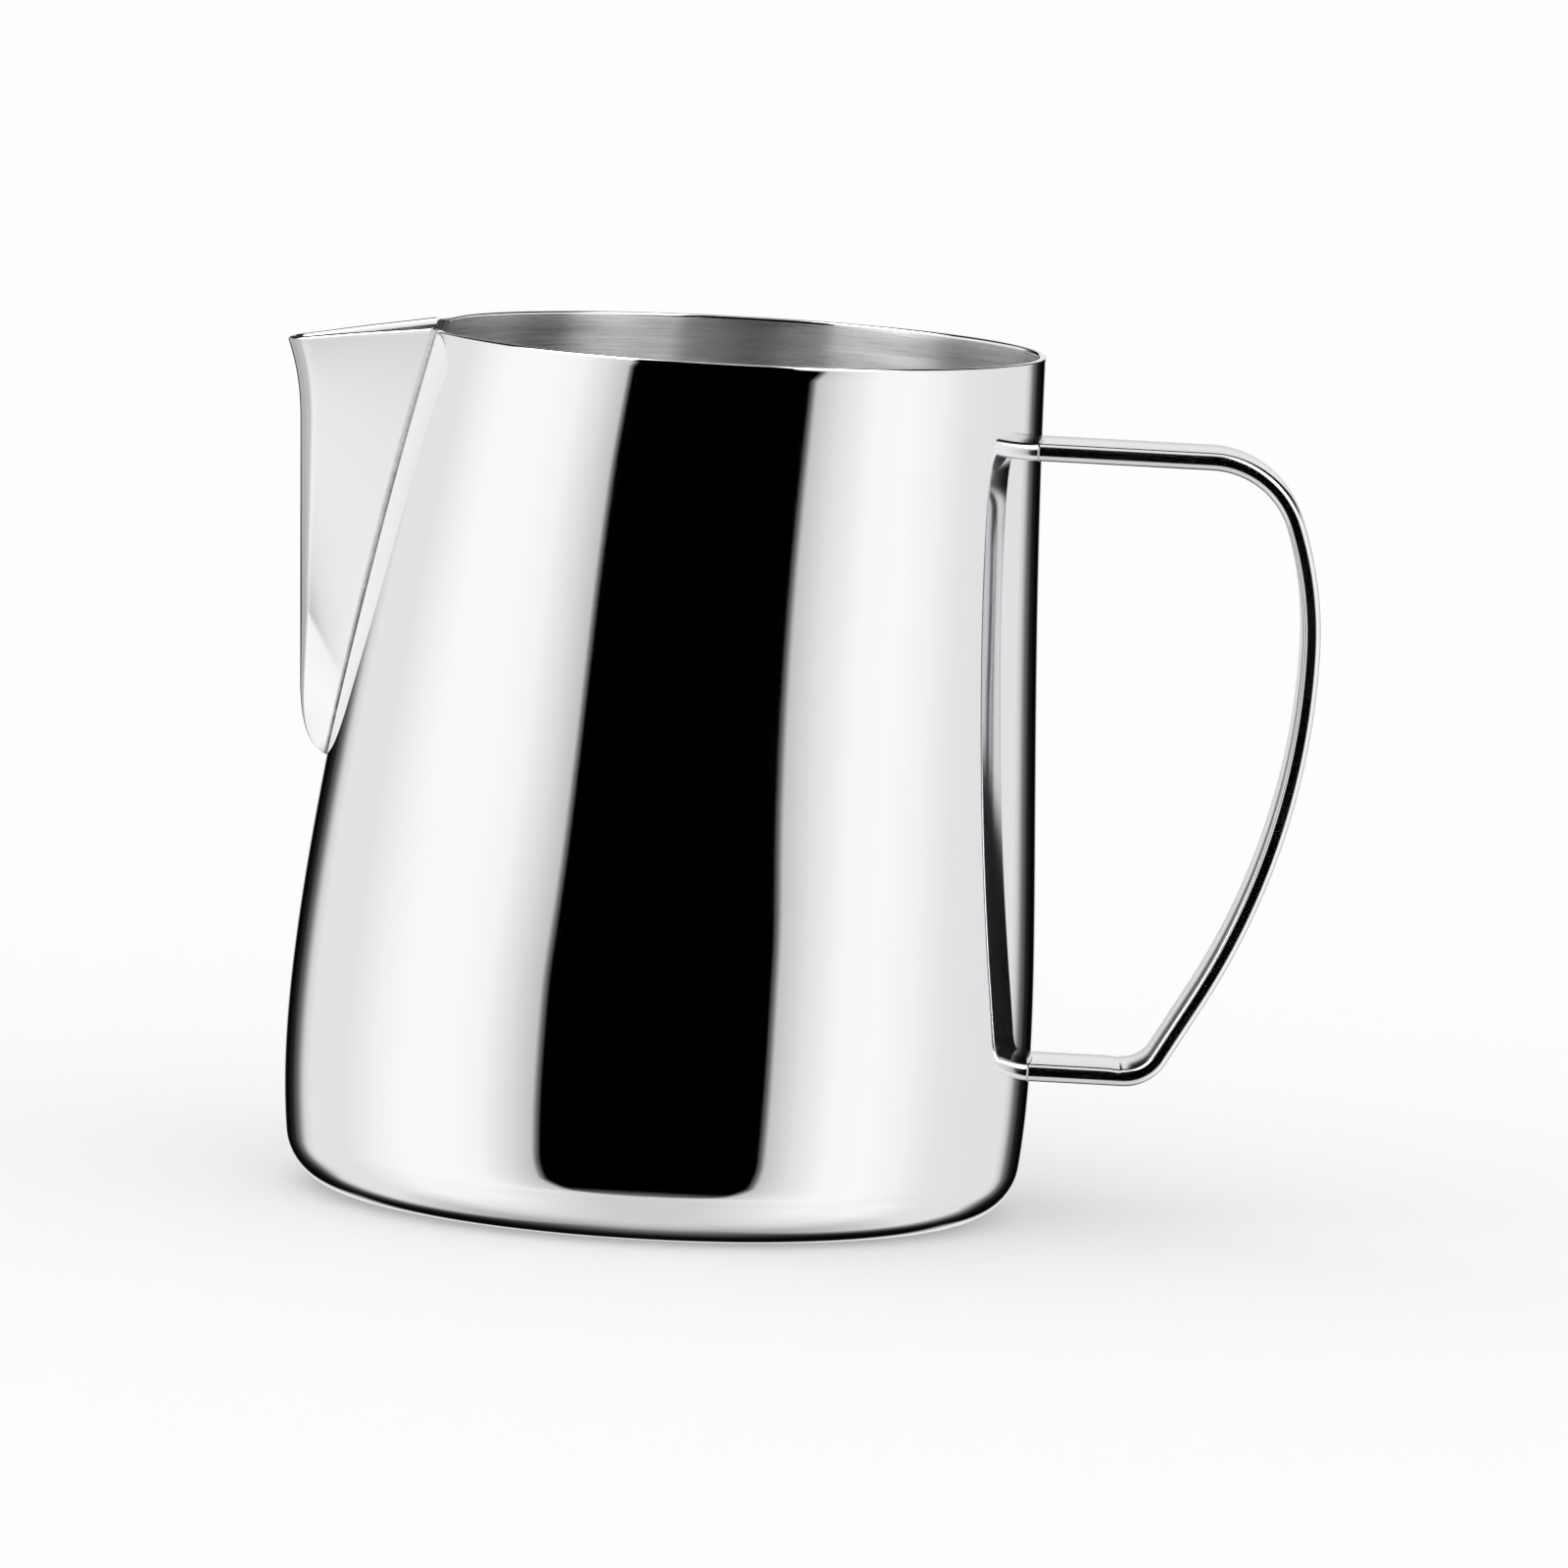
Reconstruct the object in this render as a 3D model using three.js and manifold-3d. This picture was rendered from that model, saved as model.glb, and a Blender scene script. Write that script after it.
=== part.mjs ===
// Milk frothing pitcher: a deep-drawn steel cup, a pressed spout let into its front, the weld
// bead that joins the two, and a bent flat bar welded to the back as a handle.
// Millimetres, +Z up. The spout points along -X and the handle along +X.
// The origin is the middle of the whole object's footprint, at the height it stands on.
import * as THREE from 'three';
import { mergeVertices } from 'three/addons/utils/BufferGeometryUtils.js';
import Module from 'manifold-3d';

const wasm = await Module();
wasm.setup();

// Cup
const CUP_HEIGHT = 108;
const RIM_RADIUS = 38.5;
const BASE_RADIUS = 46;
const BASE_CORNER_HEIGHT = 6.5; // where the round corner at the base meets the wall
const SHEET = 0.9;
const LEAN = 5.2; // how far the rim's centre sits behind the base's centre, toward the handle
const SHOULDER_TAPER = THREE.MathUtils.degToRad(6.4); // the wall's slope where it meets the rim
const SHOULDER_SHARE = 0.64; // how much of the wall's height the tapered stretch governs
const BELLY_SWELL = 1.04; // pulls the wall out beyond the base radius, low down
const BELLY_SHARE = 0.16; // height of that pull, as a share of the wall's height
const DISH_DEPTH = 1.2;
const DISH_INSET = 16; // from the base's edge to the flat of the hollow under the floor
const FOOT_RING_WIDTH = 6;

// Spout
const SPOUT_REACH = 17.3; // from the wall to the lip's tip
const SPOUT_LENGTH = 55.5; // from the rim down to the spout's foot
const SPOUT_HALF_WIDTH = 10;
const LIP_DROP = 3;
const LIP_FLARE = 2; // how far the lip's tip curls out from the nose below it
const LIP_LENGTH = 10;
const NOSE_RADIUS = 3;
const NOSE_FOOT_REACH = 3.6; // how far the nose stands out beyond its own foot on the wall
const NOSE_FOOT_RISE = 10; // height of the rounded stretch between the foot and the straight nose
const NOSE_FOOT_BULGE = 0.45; // how far out its curve is pulled at the foot, as a share of the reach
const NOSE_FOOT_LIFT = 0.16; // how far up it is pulled there, as a share of the rise
const NOSE_FOOT_EASE = 0.65; // how long the straight nose pulls on it, as a share of the rise
const NOSE_WIDTH_LIMIT = 0.7; // the nose's radius stays under this share of the half width
const NOSE_DEPTH_LIMIT = 0.45; // and under this share of the distance out from the wall
const LIP_EASE = 0.4; // how long the straight nose pulls on the lip's curve, as a share of its length
const LIP_CURL_REACH = 0.6; // how far the lip stands back just under its tip, as a share of the flare
const LIP_CURL_DROP = 0.3; // how far under the tip that is, as a share of the lip's length
const SEAM_FOOT_WIDTH = 0.55; // shapes the seam's round foot, as a share of the half width
const SEAM_WAIST_WIDTH = 0.75; // half width part of the way up, as a share of the full one
const SEAM_WAIST_RISE = 0.45; // height of that waist, as a share of the seam's height

// Handle
const BAR_WIDTH = 14;
const BAR_THICKNESS = 2.2;
const BAR_EDGE_RADIUS = 0.8;
const HANDLE_BELOW_RIM = 11.5;
const HANDLE_FOOT_HEIGHT = 19;
const HANDLE_STANDOFF = 32.5; // from the base's edge to the middle of the bar at the grip
const TOP_BEND_RADIUS = 11.4;
const FOOT_BEND_RADIUS = 5;
const UPPER_GRIP_RADIUS = 46;
const FOOT_STRAIGHT = 8.4; // straight length of bar just above the foot bend
const TOP_BEND_TURN = THREE.MathUtils.degToRad(70);
const FOOT_BEND_TURN = THREE.MathUtils.degToRad(60);

// Fits
const GAP = 0.3; // clearance kept between neighbouring solids
const SEAM_BEAD_RADIUS = 0.55;
const SEAM_MARGIN = 0.05;
const HANDLE_BEAD_WIDTH = 0.6;
const HANDLE_BEAD_DEPTH = 0.7;

// Fineness of the curved surfaces
const ROUND_SEGMENTS = 72;
const WALL_STEPS = 10;
const CORNER_STEPS = 5;
const SEAM_STEPS = 15;
const NOSE_STEPS = 3;
const FOOT_STEPS = 6;
const STRAIGHT_NOSE_STEPS = 4;
const LIP_STEPS = 5;
const FIRST_RIB_SHARE = 0.15; // where along the foot's curve the spout's first rib stands
const SHARE_STEP = 0.01; // step of the search for the seam point that the first rib ties to
const TOP_BEND_STEPS = 6;
const UPPER_GRIP_STEPS = 4;
const LOWER_GRIP_STEPS = 7;
const FOOT_BEND_STEPS = 5;
const BAR_EDGE_STEPS = 2;
const BEAD_SIDES = 6;
const HALVINGS = 30; // of the wall curve's range, when looking up its radius at a height
const SAME_POINT = 1e-4; // points closer than this are one

const polishedSteel = { color: 0xd9dadb, roughness: 0.08, metalness: 1 };
const weldSteel = { color: 0xc4c5c7, roughness: 0.3, metalness: 1 };

// Closed meshes and solids

function geometryOf(positions, triangles) {
  const geometry = new THREE.BufferGeometry();
  geometry.setAttribute('position', new THREE.Float32BufferAttribute(positions, 3));
  geometry.setIndex(triangles);
  return geometry;
}

function toSolid(geometry) {
  const bare = geometry.clone();
  bare.deleteAttribute('normal');
  bare.deleteAttribute('uv');
  const merged = mergeVertices(bare, SAME_POINT);
  const mesh = new wasm.Mesh({
    numProp: 3,
    vertProperties: new Float32Array(merged.attributes.position.array),
    triVerts: new Uint32Array(merged.index.array),
  });
  mesh.merge();
  return new wasm.Manifold(mesh);
}

function toGeometry(solid) {
  const mesh = solid.getMesh();
  const positions = [];
  for (let i = 0; i < mesh.vertProperties.length; i += mesh.numProp) {
    positions.push(mesh.vertProperties[i], mesh.vertProperties[i + 1], mesh.vertProperties[i + 2]);
  }
  return geometryOf(positions, Array.from(mesh.triVerts));
}

// Skins a row of equal rings of points into one closed body with a fan of triangles at each end.
function tubeThrough(rings) {
  const count = rings[0].length;
  const points = rings.flat();
  const triangles = [];
  for (let i = 0; i + 1 < rings.length; i += 1) {
    for (let j = 0; j < count; j += 1) {
      const a = i * count + j;
      const b = i * count + ((j + 1) % count);
      triangles.push(a, b, b + count, a, b + count, a + count);
    }
  }
  const last = (rings.length - 1) * count;
  for (let j = 1; j + 1 < count; j += 1) {
    triangles.push(0, j + 1, j);
    triangles.push(last, last + j, last + j + 1);
  }
  return geometryOf(points.flatMap((p) => p.toArray()), triangles);
}

// Closes two matching grids of points, an outer skin and an inner one, into a sheet of metal.
function sheetBetween(outer, inner) {
  const rows = outer.length;
  const columns = outer[0].length;
  const points = [...outer.flat(), ...inner.flat()];
  const triangles = [];
  const outerAt = (i, j) => i * columns + j;
  const innerAt = (i, j) => rows * columns + i * columns + j;
  const quad = (a, b, c, d) => triangles.push(a, b, c, a, c, d);
  for (let i = 0; i + 1 < rows; i += 1) {
    for (let j = 0; j + 1 < columns; j += 1) {
      quad(outerAt(i, j), outerAt(i, j + 1), outerAt(i + 1, j + 1), outerAt(i + 1, j));
      quad(innerAt(i, j), innerAt(i + 1, j), innerAt(i + 1, j + 1), innerAt(i, j + 1));
    }
    const end = columns - 1;
    quad(outerAt(i, 0), outerAt(i + 1, 0), innerAt(i + 1, 0), innerAt(i, 0));
    quad(outerAt(i, end), innerAt(i, end), innerAt(i + 1, end), outerAt(i + 1, end));
  }
  for (let j = 0; j + 1 < columns; j += 1) {
    const top = rows - 1;
    quad(outerAt(0, j), innerAt(0, j), innerAt(0, j + 1), outerAt(0, j + 1));
    quad(outerAt(top, j), outerAt(top, j + 1), innerAt(top, j + 1), innerAt(top, j));
  }
  return geometryOf(points.flatMap((p) => p.toArray()), triangles);
}

// Cup

// The wall's outside, from the top of the base corner to the rim, as radius and height.
const wallSpan = CUP_HEIGHT - BASE_CORNER_HEIGHT;
const shoulderLength = wallSpan * SHOULDER_SHARE;
const wallCurve = new THREE.CubicBezierCurve(
  new THREE.Vector2(BASE_RADIUS, BASE_CORNER_HEIGHT),
  new THREE.Vector2(BASE_RADIUS * BELLY_SWELL, BASE_CORNER_HEIGHT + wallSpan * BELLY_SHARE),
  new THREE.Vector2(
    RIM_RADIUS + Math.tan(SHOULDER_TAPER) * shoulderLength,
    CUP_HEIGHT - shoulderLength,
  ),
  new THREE.Vector2(RIM_RADIUS, CUP_HEIGHT),
);

// The corner's arc lies on the ground and runs into the wall without a kink.
const wallStart = wallCurve.getTangent(0);
const cornerRadius = BASE_CORNER_HEIGHT / (1 - wallStart.x);
const cornerCentreRadius = BASE_RADIUS - cornerRadius * wallStart.y;
const cornerTurn = Math.acos(wallStart.x);

// The outside radius at a height, found by halving the curve's parameter range.
function wallRadius(height) {
  let low = 0;
  let high = 1;
  for (let i = 0; i < HALVINGS; i += 1) {
    const middle = (low + high) / 2;
    if (wallCurve.getPoint(middle).y < height) {
      low = middle;
    } else {
      high = middle;
    }
  }
  return wallCurve.getPoint(low).x;
}

// The wall's circles shift back with the square of the height.
function leanAt(height) {
  const rise = Math.max(0, height - BASE_CORNER_HEIGHT) / wallSpan;
  return LEAN * rise * rise;
}

// Points on the outside from the axis to the rim, moved in or out by a distance.
function outsideProfile(offset) {
  const points = [];
  const corner = cornerRadius + offset;
  for (let i = 0; i <= CORNER_STEPS; i += 1) {
    const angle = cornerTurn * (i / CORNER_STEPS);
    points.push(new THREE.Vector2(
      cornerCentreRadius + corner * Math.sin(angle),
      cornerRadius - corner * Math.cos(angle),
    ));
  }
  for (let i = 1; i <= WALL_STEPS; i += 1) {
    const point = wallCurve.getPoint(i / WALL_STEPS);
    points.push(new THREE.Vector2(point.x + offset, point.y));
  }
  return points;
}

function leaningLathe(profile) {
  const geometry = new THREE.LatheGeometry(profile, ROUND_SEGMENTS);
  geometry.rotateX(Math.PI / 2);
  const position = geometry.attributes.position;
  for (let i = 0; i < position.count; i += 1) {
    position.setX(i, position.getX(i) + leanAt(position.getZ(i)));
  }
  return geometry;
}

function cupBlank() {
  const dishRadius = BASE_RADIUS - DISH_INSET;
  const ringInner = cornerCentreRadius - FOOT_RING_WIDTH;
  const under = [
    new THREE.Vector2(0, DISH_DEPTH),
    new THREE.Vector2(dishRadius, DISH_DEPTH),
    new THREE.Vector2(ringInner, 0),
  ];
  const floor = [
    new THREE.Vector2(ringInner, SHEET),
    new THREE.Vector2(dishRadius, DISH_DEPTH + SHEET),
    new THREE.Vector2(0, DISH_DEPTH + SHEET),
  ];
  const outside = outsideProfile(0);
  const inside = outsideProfile(-SHEET).reverse();
  return leaningLathe([...under, ...outside, ...inside, ...floor]);
}

// The cup's outside as one filled solid, grown by the gap that its neighbours keep to it.
function cupClearance() {
  const outside = outsideProfile(GAP);
  const below = new THREE.Vector2(0, -GAP);
  const above = new THREE.Vector2(0, CUP_HEIGHT);
  return toSolid(leaningLathe([below, ...outside, above]));
}

// Spout and its seam

// One side of the seam, seen from the front: y is the distance from the middle, z the height.
const spoutFootHeight = CUP_HEIGHT - SPOUT_LENGTH;
const seamCurve = new THREE.CubicBezierCurve(
  new THREE.Vector2(0, spoutFootHeight),
  new THREE.Vector2(SPOUT_HALF_WIDTH * SEAM_FOOT_WIDTH, spoutFootHeight),
  new THREE.Vector2(
    SPOUT_HALF_WIDTH * SEAM_WAIST_WIDTH,
    spoutFootHeight + SPOUT_LENGTH * SEAM_WAIST_RISE,
  ),
  new THREE.Vector2(SPOUT_HALF_WIDTH, CUP_HEIGHT),
);

// The seam moved sideways: a positive offset lies outside the spout's opening.
function seamPoint(fraction, offset) {
  const point = seamCurve.getPoint(fraction);
  const along = seamCurve.getTangent(fraction);
  return new THREE.Vector2(point.x + along.y * offset, point.y - along.x * offset);
}

function wallPoint(y, z, depth) {
  const radius = wallRadius(z) - depth;
  return new THREE.Vector3(leanAt(z) - Math.sqrt(radius * radius - y * y), y, z);
}

// Half the width of metal taken out of the seam for the bead and its clearance on either side.
const seamAllowance = SEAM_BEAD_RADIUS + GAP + SEAM_MARGIN;

function spoutOpening() {
  const outline = [];
  for (let i = 0; i <= SEAM_STEPS; i += 1) {
    outline.push(seamPoint(i / SEAM_STEPS, seamAllowance));
  }
  const top = outline[outline.length - 1];
  outline.push(new THREE.Vector2(top.x, CUP_HEIGHT + SHEET));
  const left = outline.slice(1).reverse().map((p) => new THREE.Vector2(-p.x, p.y));
  const shape = new THREE.Shape([...left, ...outline]);
  const depth = BASE_RADIUS;
  const geometry = new THREE.ExtrudeGeometry(shape, { depth, bevelEnabled: false });
  // The outline's own x becomes the cup's y, its y becomes z, and it is pushed through along x.
  geometry.applyMatrix4(new THREE.Matrix4().makeBasis(
    new THREE.Vector3(0, 1, 0),
    new THREE.Vector3(0, 0, 1),
    new THREE.Vector3(1, 0, 0),
  ));
  geometry.translate(-BASE_RADIUS - depth / 2, 0, 0);
  return toSolid(geometry);
}

// The middle line of the nose, from its foot on the wall up to the lip's tip.
const noseFoot = wallPoint(0, spoutFootHeight, 0);
const rimFront = wallPoint(0, CUP_HEIGHT, 0);
const lipTip = new THREE.Vector3(rimFront.x - SPOUT_REACH, 0, CUP_HEIGHT - LIP_DROP);
const lipStart = new THREE.Vector3(lipTip.x + LIP_FLARE, 0, lipTip.z - LIP_LENGTH);
const noseStart = new THREE.Vector3(
  noseFoot.x - NOSE_FOOT_REACH,
  0,
  spoutFootHeight + NOSE_FOOT_RISE,
);
const noseDirection = lipStart.clone().sub(noseStart).normalize();
const footCurve = new THREE.CubicBezierCurve3(
  noseFoot,
  new THREE.Vector3(
    noseFoot.x - NOSE_FOOT_REACH * NOSE_FOOT_BULGE,
    0,
    spoutFootHeight + NOSE_FOOT_RISE * NOSE_FOOT_LIFT,
  ),
  noseStart.clone().addScaledVector(noseDirection, -NOSE_FOOT_RISE * NOSE_FOOT_EASE),
  noseStart,
);
const lipCurve = new THREE.CubicBezierCurve3(
  lipStart,
  lipStart.clone().addScaledVector(noseDirection, LIP_LENGTH * LIP_EASE),
  new THREE.Vector3(
    lipTip.x + LIP_FLARE * LIP_CURL_REACH,
    0,
    lipTip.z - LIP_LENGTH * LIP_CURL_DROP,
  ),
  lipTip,
);

// One rib of the spout's outer skin, from one edge round the nose to the other.
function spoutRib(nose, edge, noseRadius) {
  const across = new THREE.Vector3(edge.x - nose.x, 0, edge.z - nose.z);
  const depth = across.length();
  across.normalize();
  const at = (u, v) => nose.clone().addScaledVector(across, u).setY(v);
  const reach = Math.hypot(depth - noseRadius, edge.y);
  const toEdge = Math.atan2(edge.y, depth - noseRadius);
  const tangentAngle = toEdge + Math.acos(Math.min(1, noseRadius / reach));
  const half = [at(depth, edge.y)];
  for (let i = 0; i <= NOSE_STEPS; i += 1) {
    const angle = tangentAngle + (Math.PI - tangentAngle) * (i / NOSE_STEPS);
    half.push(at(noseRadius + noseRadius * Math.cos(angle), noseRadius * Math.sin(angle)));
  }
  const mirrored = half.slice(0, -1).reverse().map((p) => new THREE.Vector3(p.x, -p.y, p.z));
  return [...half, ...mirrored];
}

// Points up the nose from just above its foot to the lip's tip.
function spoutStations() {
  const stations = [];
  for (let i = 1; i <= FOOT_STEPS; i += 1) {
    const share = FIRST_RIB_SHARE + (1 - FIRST_RIB_SHARE) * (i / FOOT_STEPS);
    stations.push(footCurve.getPoint(share));
  }
  for (let i = 1; i <= STRAIGHT_NOSE_STEPS; i += 1) {
    stations.push(noseStart.clone().lerp(lipStart, i / STRAIGHT_NOSE_STEPS));
  }
  for (let i = 1; i <= LIP_STEPS; i += 1) {
    stations.push(lipCurve.getPoint(i / LIP_STEPS));
  }
  return stations;
}

// Each rib ties a nose point to the seam point at the same share of the way from the foot.
function spoutSkin() {
  const stations = spoutStations();
  const lengths = [stations[0].distanceTo(noseFoot)];
  for (let i = 1; i < stations.length; i += 1) {
    lengths.push(lengths[i - 1] + stations[i].distanceTo(stations[i - 1]));
  }
  // The first rib sits where the opening is wide enough for the sheet to turn round.
  let firstShare = 0;
  while (seamPoint(firstShare, -seamAllowance).x < SHEET) {
    firstShare += SHARE_STEP;
  }
  const run = lengths[lengths.length - 1] - lengths[0];
  return stations.map((nose, i) => {
    const share = firstShare + (1 - firstShare) * ((lengths[i] - lengths[0]) / run);
    const flat = seamPoint(share, -seamAllowance);
    const edge = wallPoint(flat.x, flat.y, 0);
    const widest = edge.y * NOSE_WIDTH_LIMIT;
    const deepest = nose.distanceTo(edge) * NOSE_DEPTH_LIMIT;
    const radius = Math.min(NOSE_RADIUS, widest, deepest);
    return spoutRib(nose, edge, radius);
  });
}

// The same grid one sheet's thickness further in, measured square to the skin.
function insetSkin(skin, distance) {
  const rows = skin.length;
  const columns = skin[0].length;
  return skin.map((rib, i) => rib.map((point, j) => {
    const up = skin[Math.min(i + 1, rows - 1)][j].clone().sub(skin[Math.max(i - 1, 0)][j]);
    const round = rib[Math.min(j + 1, columns - 1)].clone().sub(rib[Math.max(j - 1, 0)]);
    const inward = round.cross(up).normalize().negate();
    return point.clone().addScaledVector(inward, distance);
  }));
}

function spoutGeometry() {
  const skin = spoutSkin();
  return sheetBetween(skin, insetSkin(skin, SHEET));
}

// A round bead that follows the seam down one side, round the foot and up the other.
function seamBeadGeometry() {
  const side = [];
  for (let i = 1; i < SEAM_STEPS; i += 1) {
    const flat = seamPoint(i / SEAM_STEPS, 0);
    side.push(wallPoint(flat.x, flat.y, SHEET / 2));
  }
  side.push(wallPoint(SPOUT_HALF_WIDTH, CUP_HEIGHT - GAP, SHEET / 2));
  const foot = wallPoint(0, spoutFootHeight, SHEET / 2);
  const other = side.map((p) => new THREE.Vector3(p.x, -p.y, p.z));
  const path = [...other.reverse(), foot, ...side];
  const rings = path.map((point, i) => {
    const before = path[Math.max(i - 1, 0)];
    const after = path[Math.min(i + 1, path.length - 1)];
    const along = after.clone().sub(before).normalize();
    const outward = new THREE.Vector3(-1, 0, 0).addScaledVector(along, along.x).normalize();
    const sideways = along.clone().cross(outward);
    const ring = [];
    for (let k = 0; k < BEAD_SIDES; k += 1) {
      const angle = (Math.PI * 2 * k) / BEAD_SIDES;
      ring.push(point.clone()
        .addScaledVector(outward, SEAM_BEAD_RADIUS * Math.cos(angle))
        .addScaledVector(sideways, SEAM_BEAD_RADIUS * Math.sin(angle)));
    }
    return ring;
  });
  return tubeThrough(rings);
}

// Handle, which seats below the rim and stands off the cup's widest part

const handleTopHeight = CUP_HEIGHT - HANDLE_BELOW_RIM;
const handleReach = BASE_RADIUS + HANDLE_STANDOFF;

// Walks along straights and bends in the XZ plane and returns stations with their headings.
function handleStations() {
  const stations = [];
  let x = 0;
  let z = 0;
  let heading = 0;
  const mark = () => stations.push({ x, z, heading });
  const straight = (length) => {
    x += length * Math.cos(heading);
    z += length * Math.sin(heading);
    mark();
  };
  const bend = (radius, turn, steps) => {
    for (let i = 0; i < steps; i += 1) {
      const part = turn / steps;
      const chord = 2 * radius * Math.sin(part / 2);
      x += chord * Math.cos(heading - part / 2);
      z += chord * Math.sin(heading - part / 2);
      heading -= part;
      mark();
    }
  };
  const upperTurn = Math.PI / 2 - TOP_BEND_TURN;
  const lowerTurn = Math.PI / 2 - FOOT_BEND_TURN;
  const topBendX = TOP_BEND_RADIUS * Math.sin(TOP_BEND_TURN);
  const upperX = UPPER_GRIP_RADIUS * (1 - Math.cos(upperTurn));
  const topStraightEnd = handleReach - topBendX - upperX;
  const topBendZ = TOP_BEND_RADIUS * (1 - Math.cos(TOP_BEND_TURN));
  const upperZ = UPPER_GRIP_RADIUS * Math.sin(upperTurn);
  const footBendZ = FOOT_BEND_RADIUS * (1 - Math.cos(FOOT_BEND_TURN));
  const straightZ = FOOT_STRAIGHT * Math.cos(lowerTurn);
  // The lower grip's curve takes up whatever height the other stretches leave.
  const drop = handleTopHeight - HANDLE_FOOT_HEIGHT;
  const lowerZ = drop - topBendZ - upperZ - straightZ - footBendZ;
  const lowerGripRadius = lowerZ / Math.sin(lowerTurn);
  const insideWall = RIM_RADIUS - SHEET;
  x = insideWall;
  z = handleTopHeight;
  mark();
  straight(topStraightEnd - insideWall);
  bend(TOP_BEND_RADIUS, TOP_BEND_TURN, TOP_BEND_STEPS);
  bend(UPPER_GRIP_RADIUS, upperTurn, UPPER_GRIP_STEPS);
  bend(lowerGripRadius, lowerTurn, LOWER_GRIP_STEPS);
  straight(FOOT_STRAIGHT);
  bend(FOOT_BEND_RADIUS, FOOT_BEND_TURN, FOOT_BEND_STEPS);
  straight(x - insideWall);
  return stations;
}

// The bar's section, wide across Y, with its four edges rounded over.
function barOutline(grow) {
  const halfWidth = BAR_WIDTH / 2 + grow;
  const halfThickness = BAR_THICKNESS / 2 + grow;
  const radius = BAR_EDGE_RADIUS + grow;
  const shape = new THREE.Shape();
  const right = halfWidth - radius;
  const top = halfThickness - radius;
  shape.absarc(right, top, radius, 0, Math.PI / 2);
  shape.absarc(-right, top, radius, Math.PI / 2, Math.PI);
  shape.absarc(-right, -top, radius, Math.PI, Math.PI * 1.5);
  shape.absarc(right, -top, radius, Math.PI * 1.5, Math.PI * 2);
  return shape;
}

function barPoints(grow) {
  const points = barOutline(grow).getPoints(BAR_EDGE_STEPS);
  return points.filter((p, i) => i === 0 || p.distanceTo(points[i - 1]) > SAME_POINT)
    .filter((p, i, all) => i === 0 || p.distanceTo(all[0]) > SAME_POINT);
}

function handleGeometry() {
  const outline = barPoints(0);
  const rings = handleStations().map(({ x, z, heading }) => {
    const outward = new THREE.Vector3(-Math.sin(heading), 0, Math.cos(heading));
    const middle = new THREE.Vector3(x, 0, z);
    return outline.map((p) => middle.clone().addScaledVector(outward, p.y).setY(p.x));
  });
  return toGeometry(toSolid(tubeThrough(rings)).subtract(cupClearance()));
}

// A collar of weld metal round one end of the bar, trimmed to the wall it sits on.
function handleBeadGeometry(height) {
  const shape = barOutline(GAP + HANDLE_BEAD_WIDTH);
  shape.holes.push(new THREE.Path(barPoints(GAP)));
  const wallX = leanAt(height) + wallRadius(height);
  const depth = BAR_WIDTH / 2;
  const options = { depth, bevelEnabled: false, curveSegments: BAR_EDGE_STEPS };
  const geometry = new THREE.ExtrudeGeometry(shape, options);
  geometry.applyMatrix4(new THREE.Matrix4().makeBasis(
    new THREE.Vector3(0, 1, 0),
    new THREE.Vector3(0, 0, 1),
    new THREE.Vector3(1, 0, 0),
  ));
  geometry.translate(wallX + GAP + HANDLE_BEAD_DEPTH - depth, 0, height);
  return toGeometry(toSolid(geometry).subtract(cupClearance()));
}

// Assembly

const pitcher = new THREE.Group();

function add(name, geometry, look) {
  geometry.computeVertexNormals();
  const mesh = new THREE.Mesh(geometry, new THREE.MeshStandardMaterial(look));
  mesh.name = name;
  pitcher.add(mesh);
}

add('cup', toGeometry(toSolid(cupBlank()).subtract(spoutOpening())), polishedSteel);
add('spout', spoutGeometry(), polishedSteel);
add('spout_seam_weld', seamBeadGeometry(), weldSteel);
add('handle', handleGeometry(), polishedSteel);
add('handle_weld_upper', handleBeadGeometry(handleTopHeight), weldSteel);
add('handle_weld_lower', handleBeadGeometry(HANDLE_FOOT_HEIGHT), weldSteel);

// Everything above is drawn about the cup's base centre; the origin is the footprint's middle.
const extent = new THREE.Box3().setFromObject(pitcher);
const middleX = (extent.min.x + extent.max.x) / 2;
pitcher.children.forEach((mesh) => mesh.geometry.translate(-middleX, 0, 0));

export default pitcher;
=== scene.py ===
import math

import bmesh
import bpy
import numpy as np
from mathutils import Matrix, Vector


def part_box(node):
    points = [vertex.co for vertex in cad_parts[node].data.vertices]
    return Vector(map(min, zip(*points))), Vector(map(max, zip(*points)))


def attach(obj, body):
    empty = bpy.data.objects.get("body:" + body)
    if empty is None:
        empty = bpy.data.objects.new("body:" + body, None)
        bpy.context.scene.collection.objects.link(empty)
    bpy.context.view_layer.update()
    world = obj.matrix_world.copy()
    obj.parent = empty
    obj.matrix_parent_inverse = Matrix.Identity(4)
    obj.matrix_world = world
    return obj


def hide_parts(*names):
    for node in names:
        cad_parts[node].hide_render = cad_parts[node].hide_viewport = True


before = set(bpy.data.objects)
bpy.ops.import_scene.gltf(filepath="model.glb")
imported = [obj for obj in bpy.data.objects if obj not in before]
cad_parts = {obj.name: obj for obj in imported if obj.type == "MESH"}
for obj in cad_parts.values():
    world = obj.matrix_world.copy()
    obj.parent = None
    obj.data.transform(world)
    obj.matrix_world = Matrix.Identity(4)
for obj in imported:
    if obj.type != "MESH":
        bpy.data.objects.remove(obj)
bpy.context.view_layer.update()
mm = 0.001  # sizes below are in millimetres, and meshes are in metres


def lerp(a, b, share):
    return a + (b - a) * share


def unit(v):
    return v / max(np.linalg.norm(v), 1e-12)


def bezier(points, t):
    a, b, c, d = [np.array(p, float) for p in points]
    s = 1 - t
    return a * s**3 + b * 3 * s * s * t + c * 3 * s * t * t + d * t**3


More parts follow.
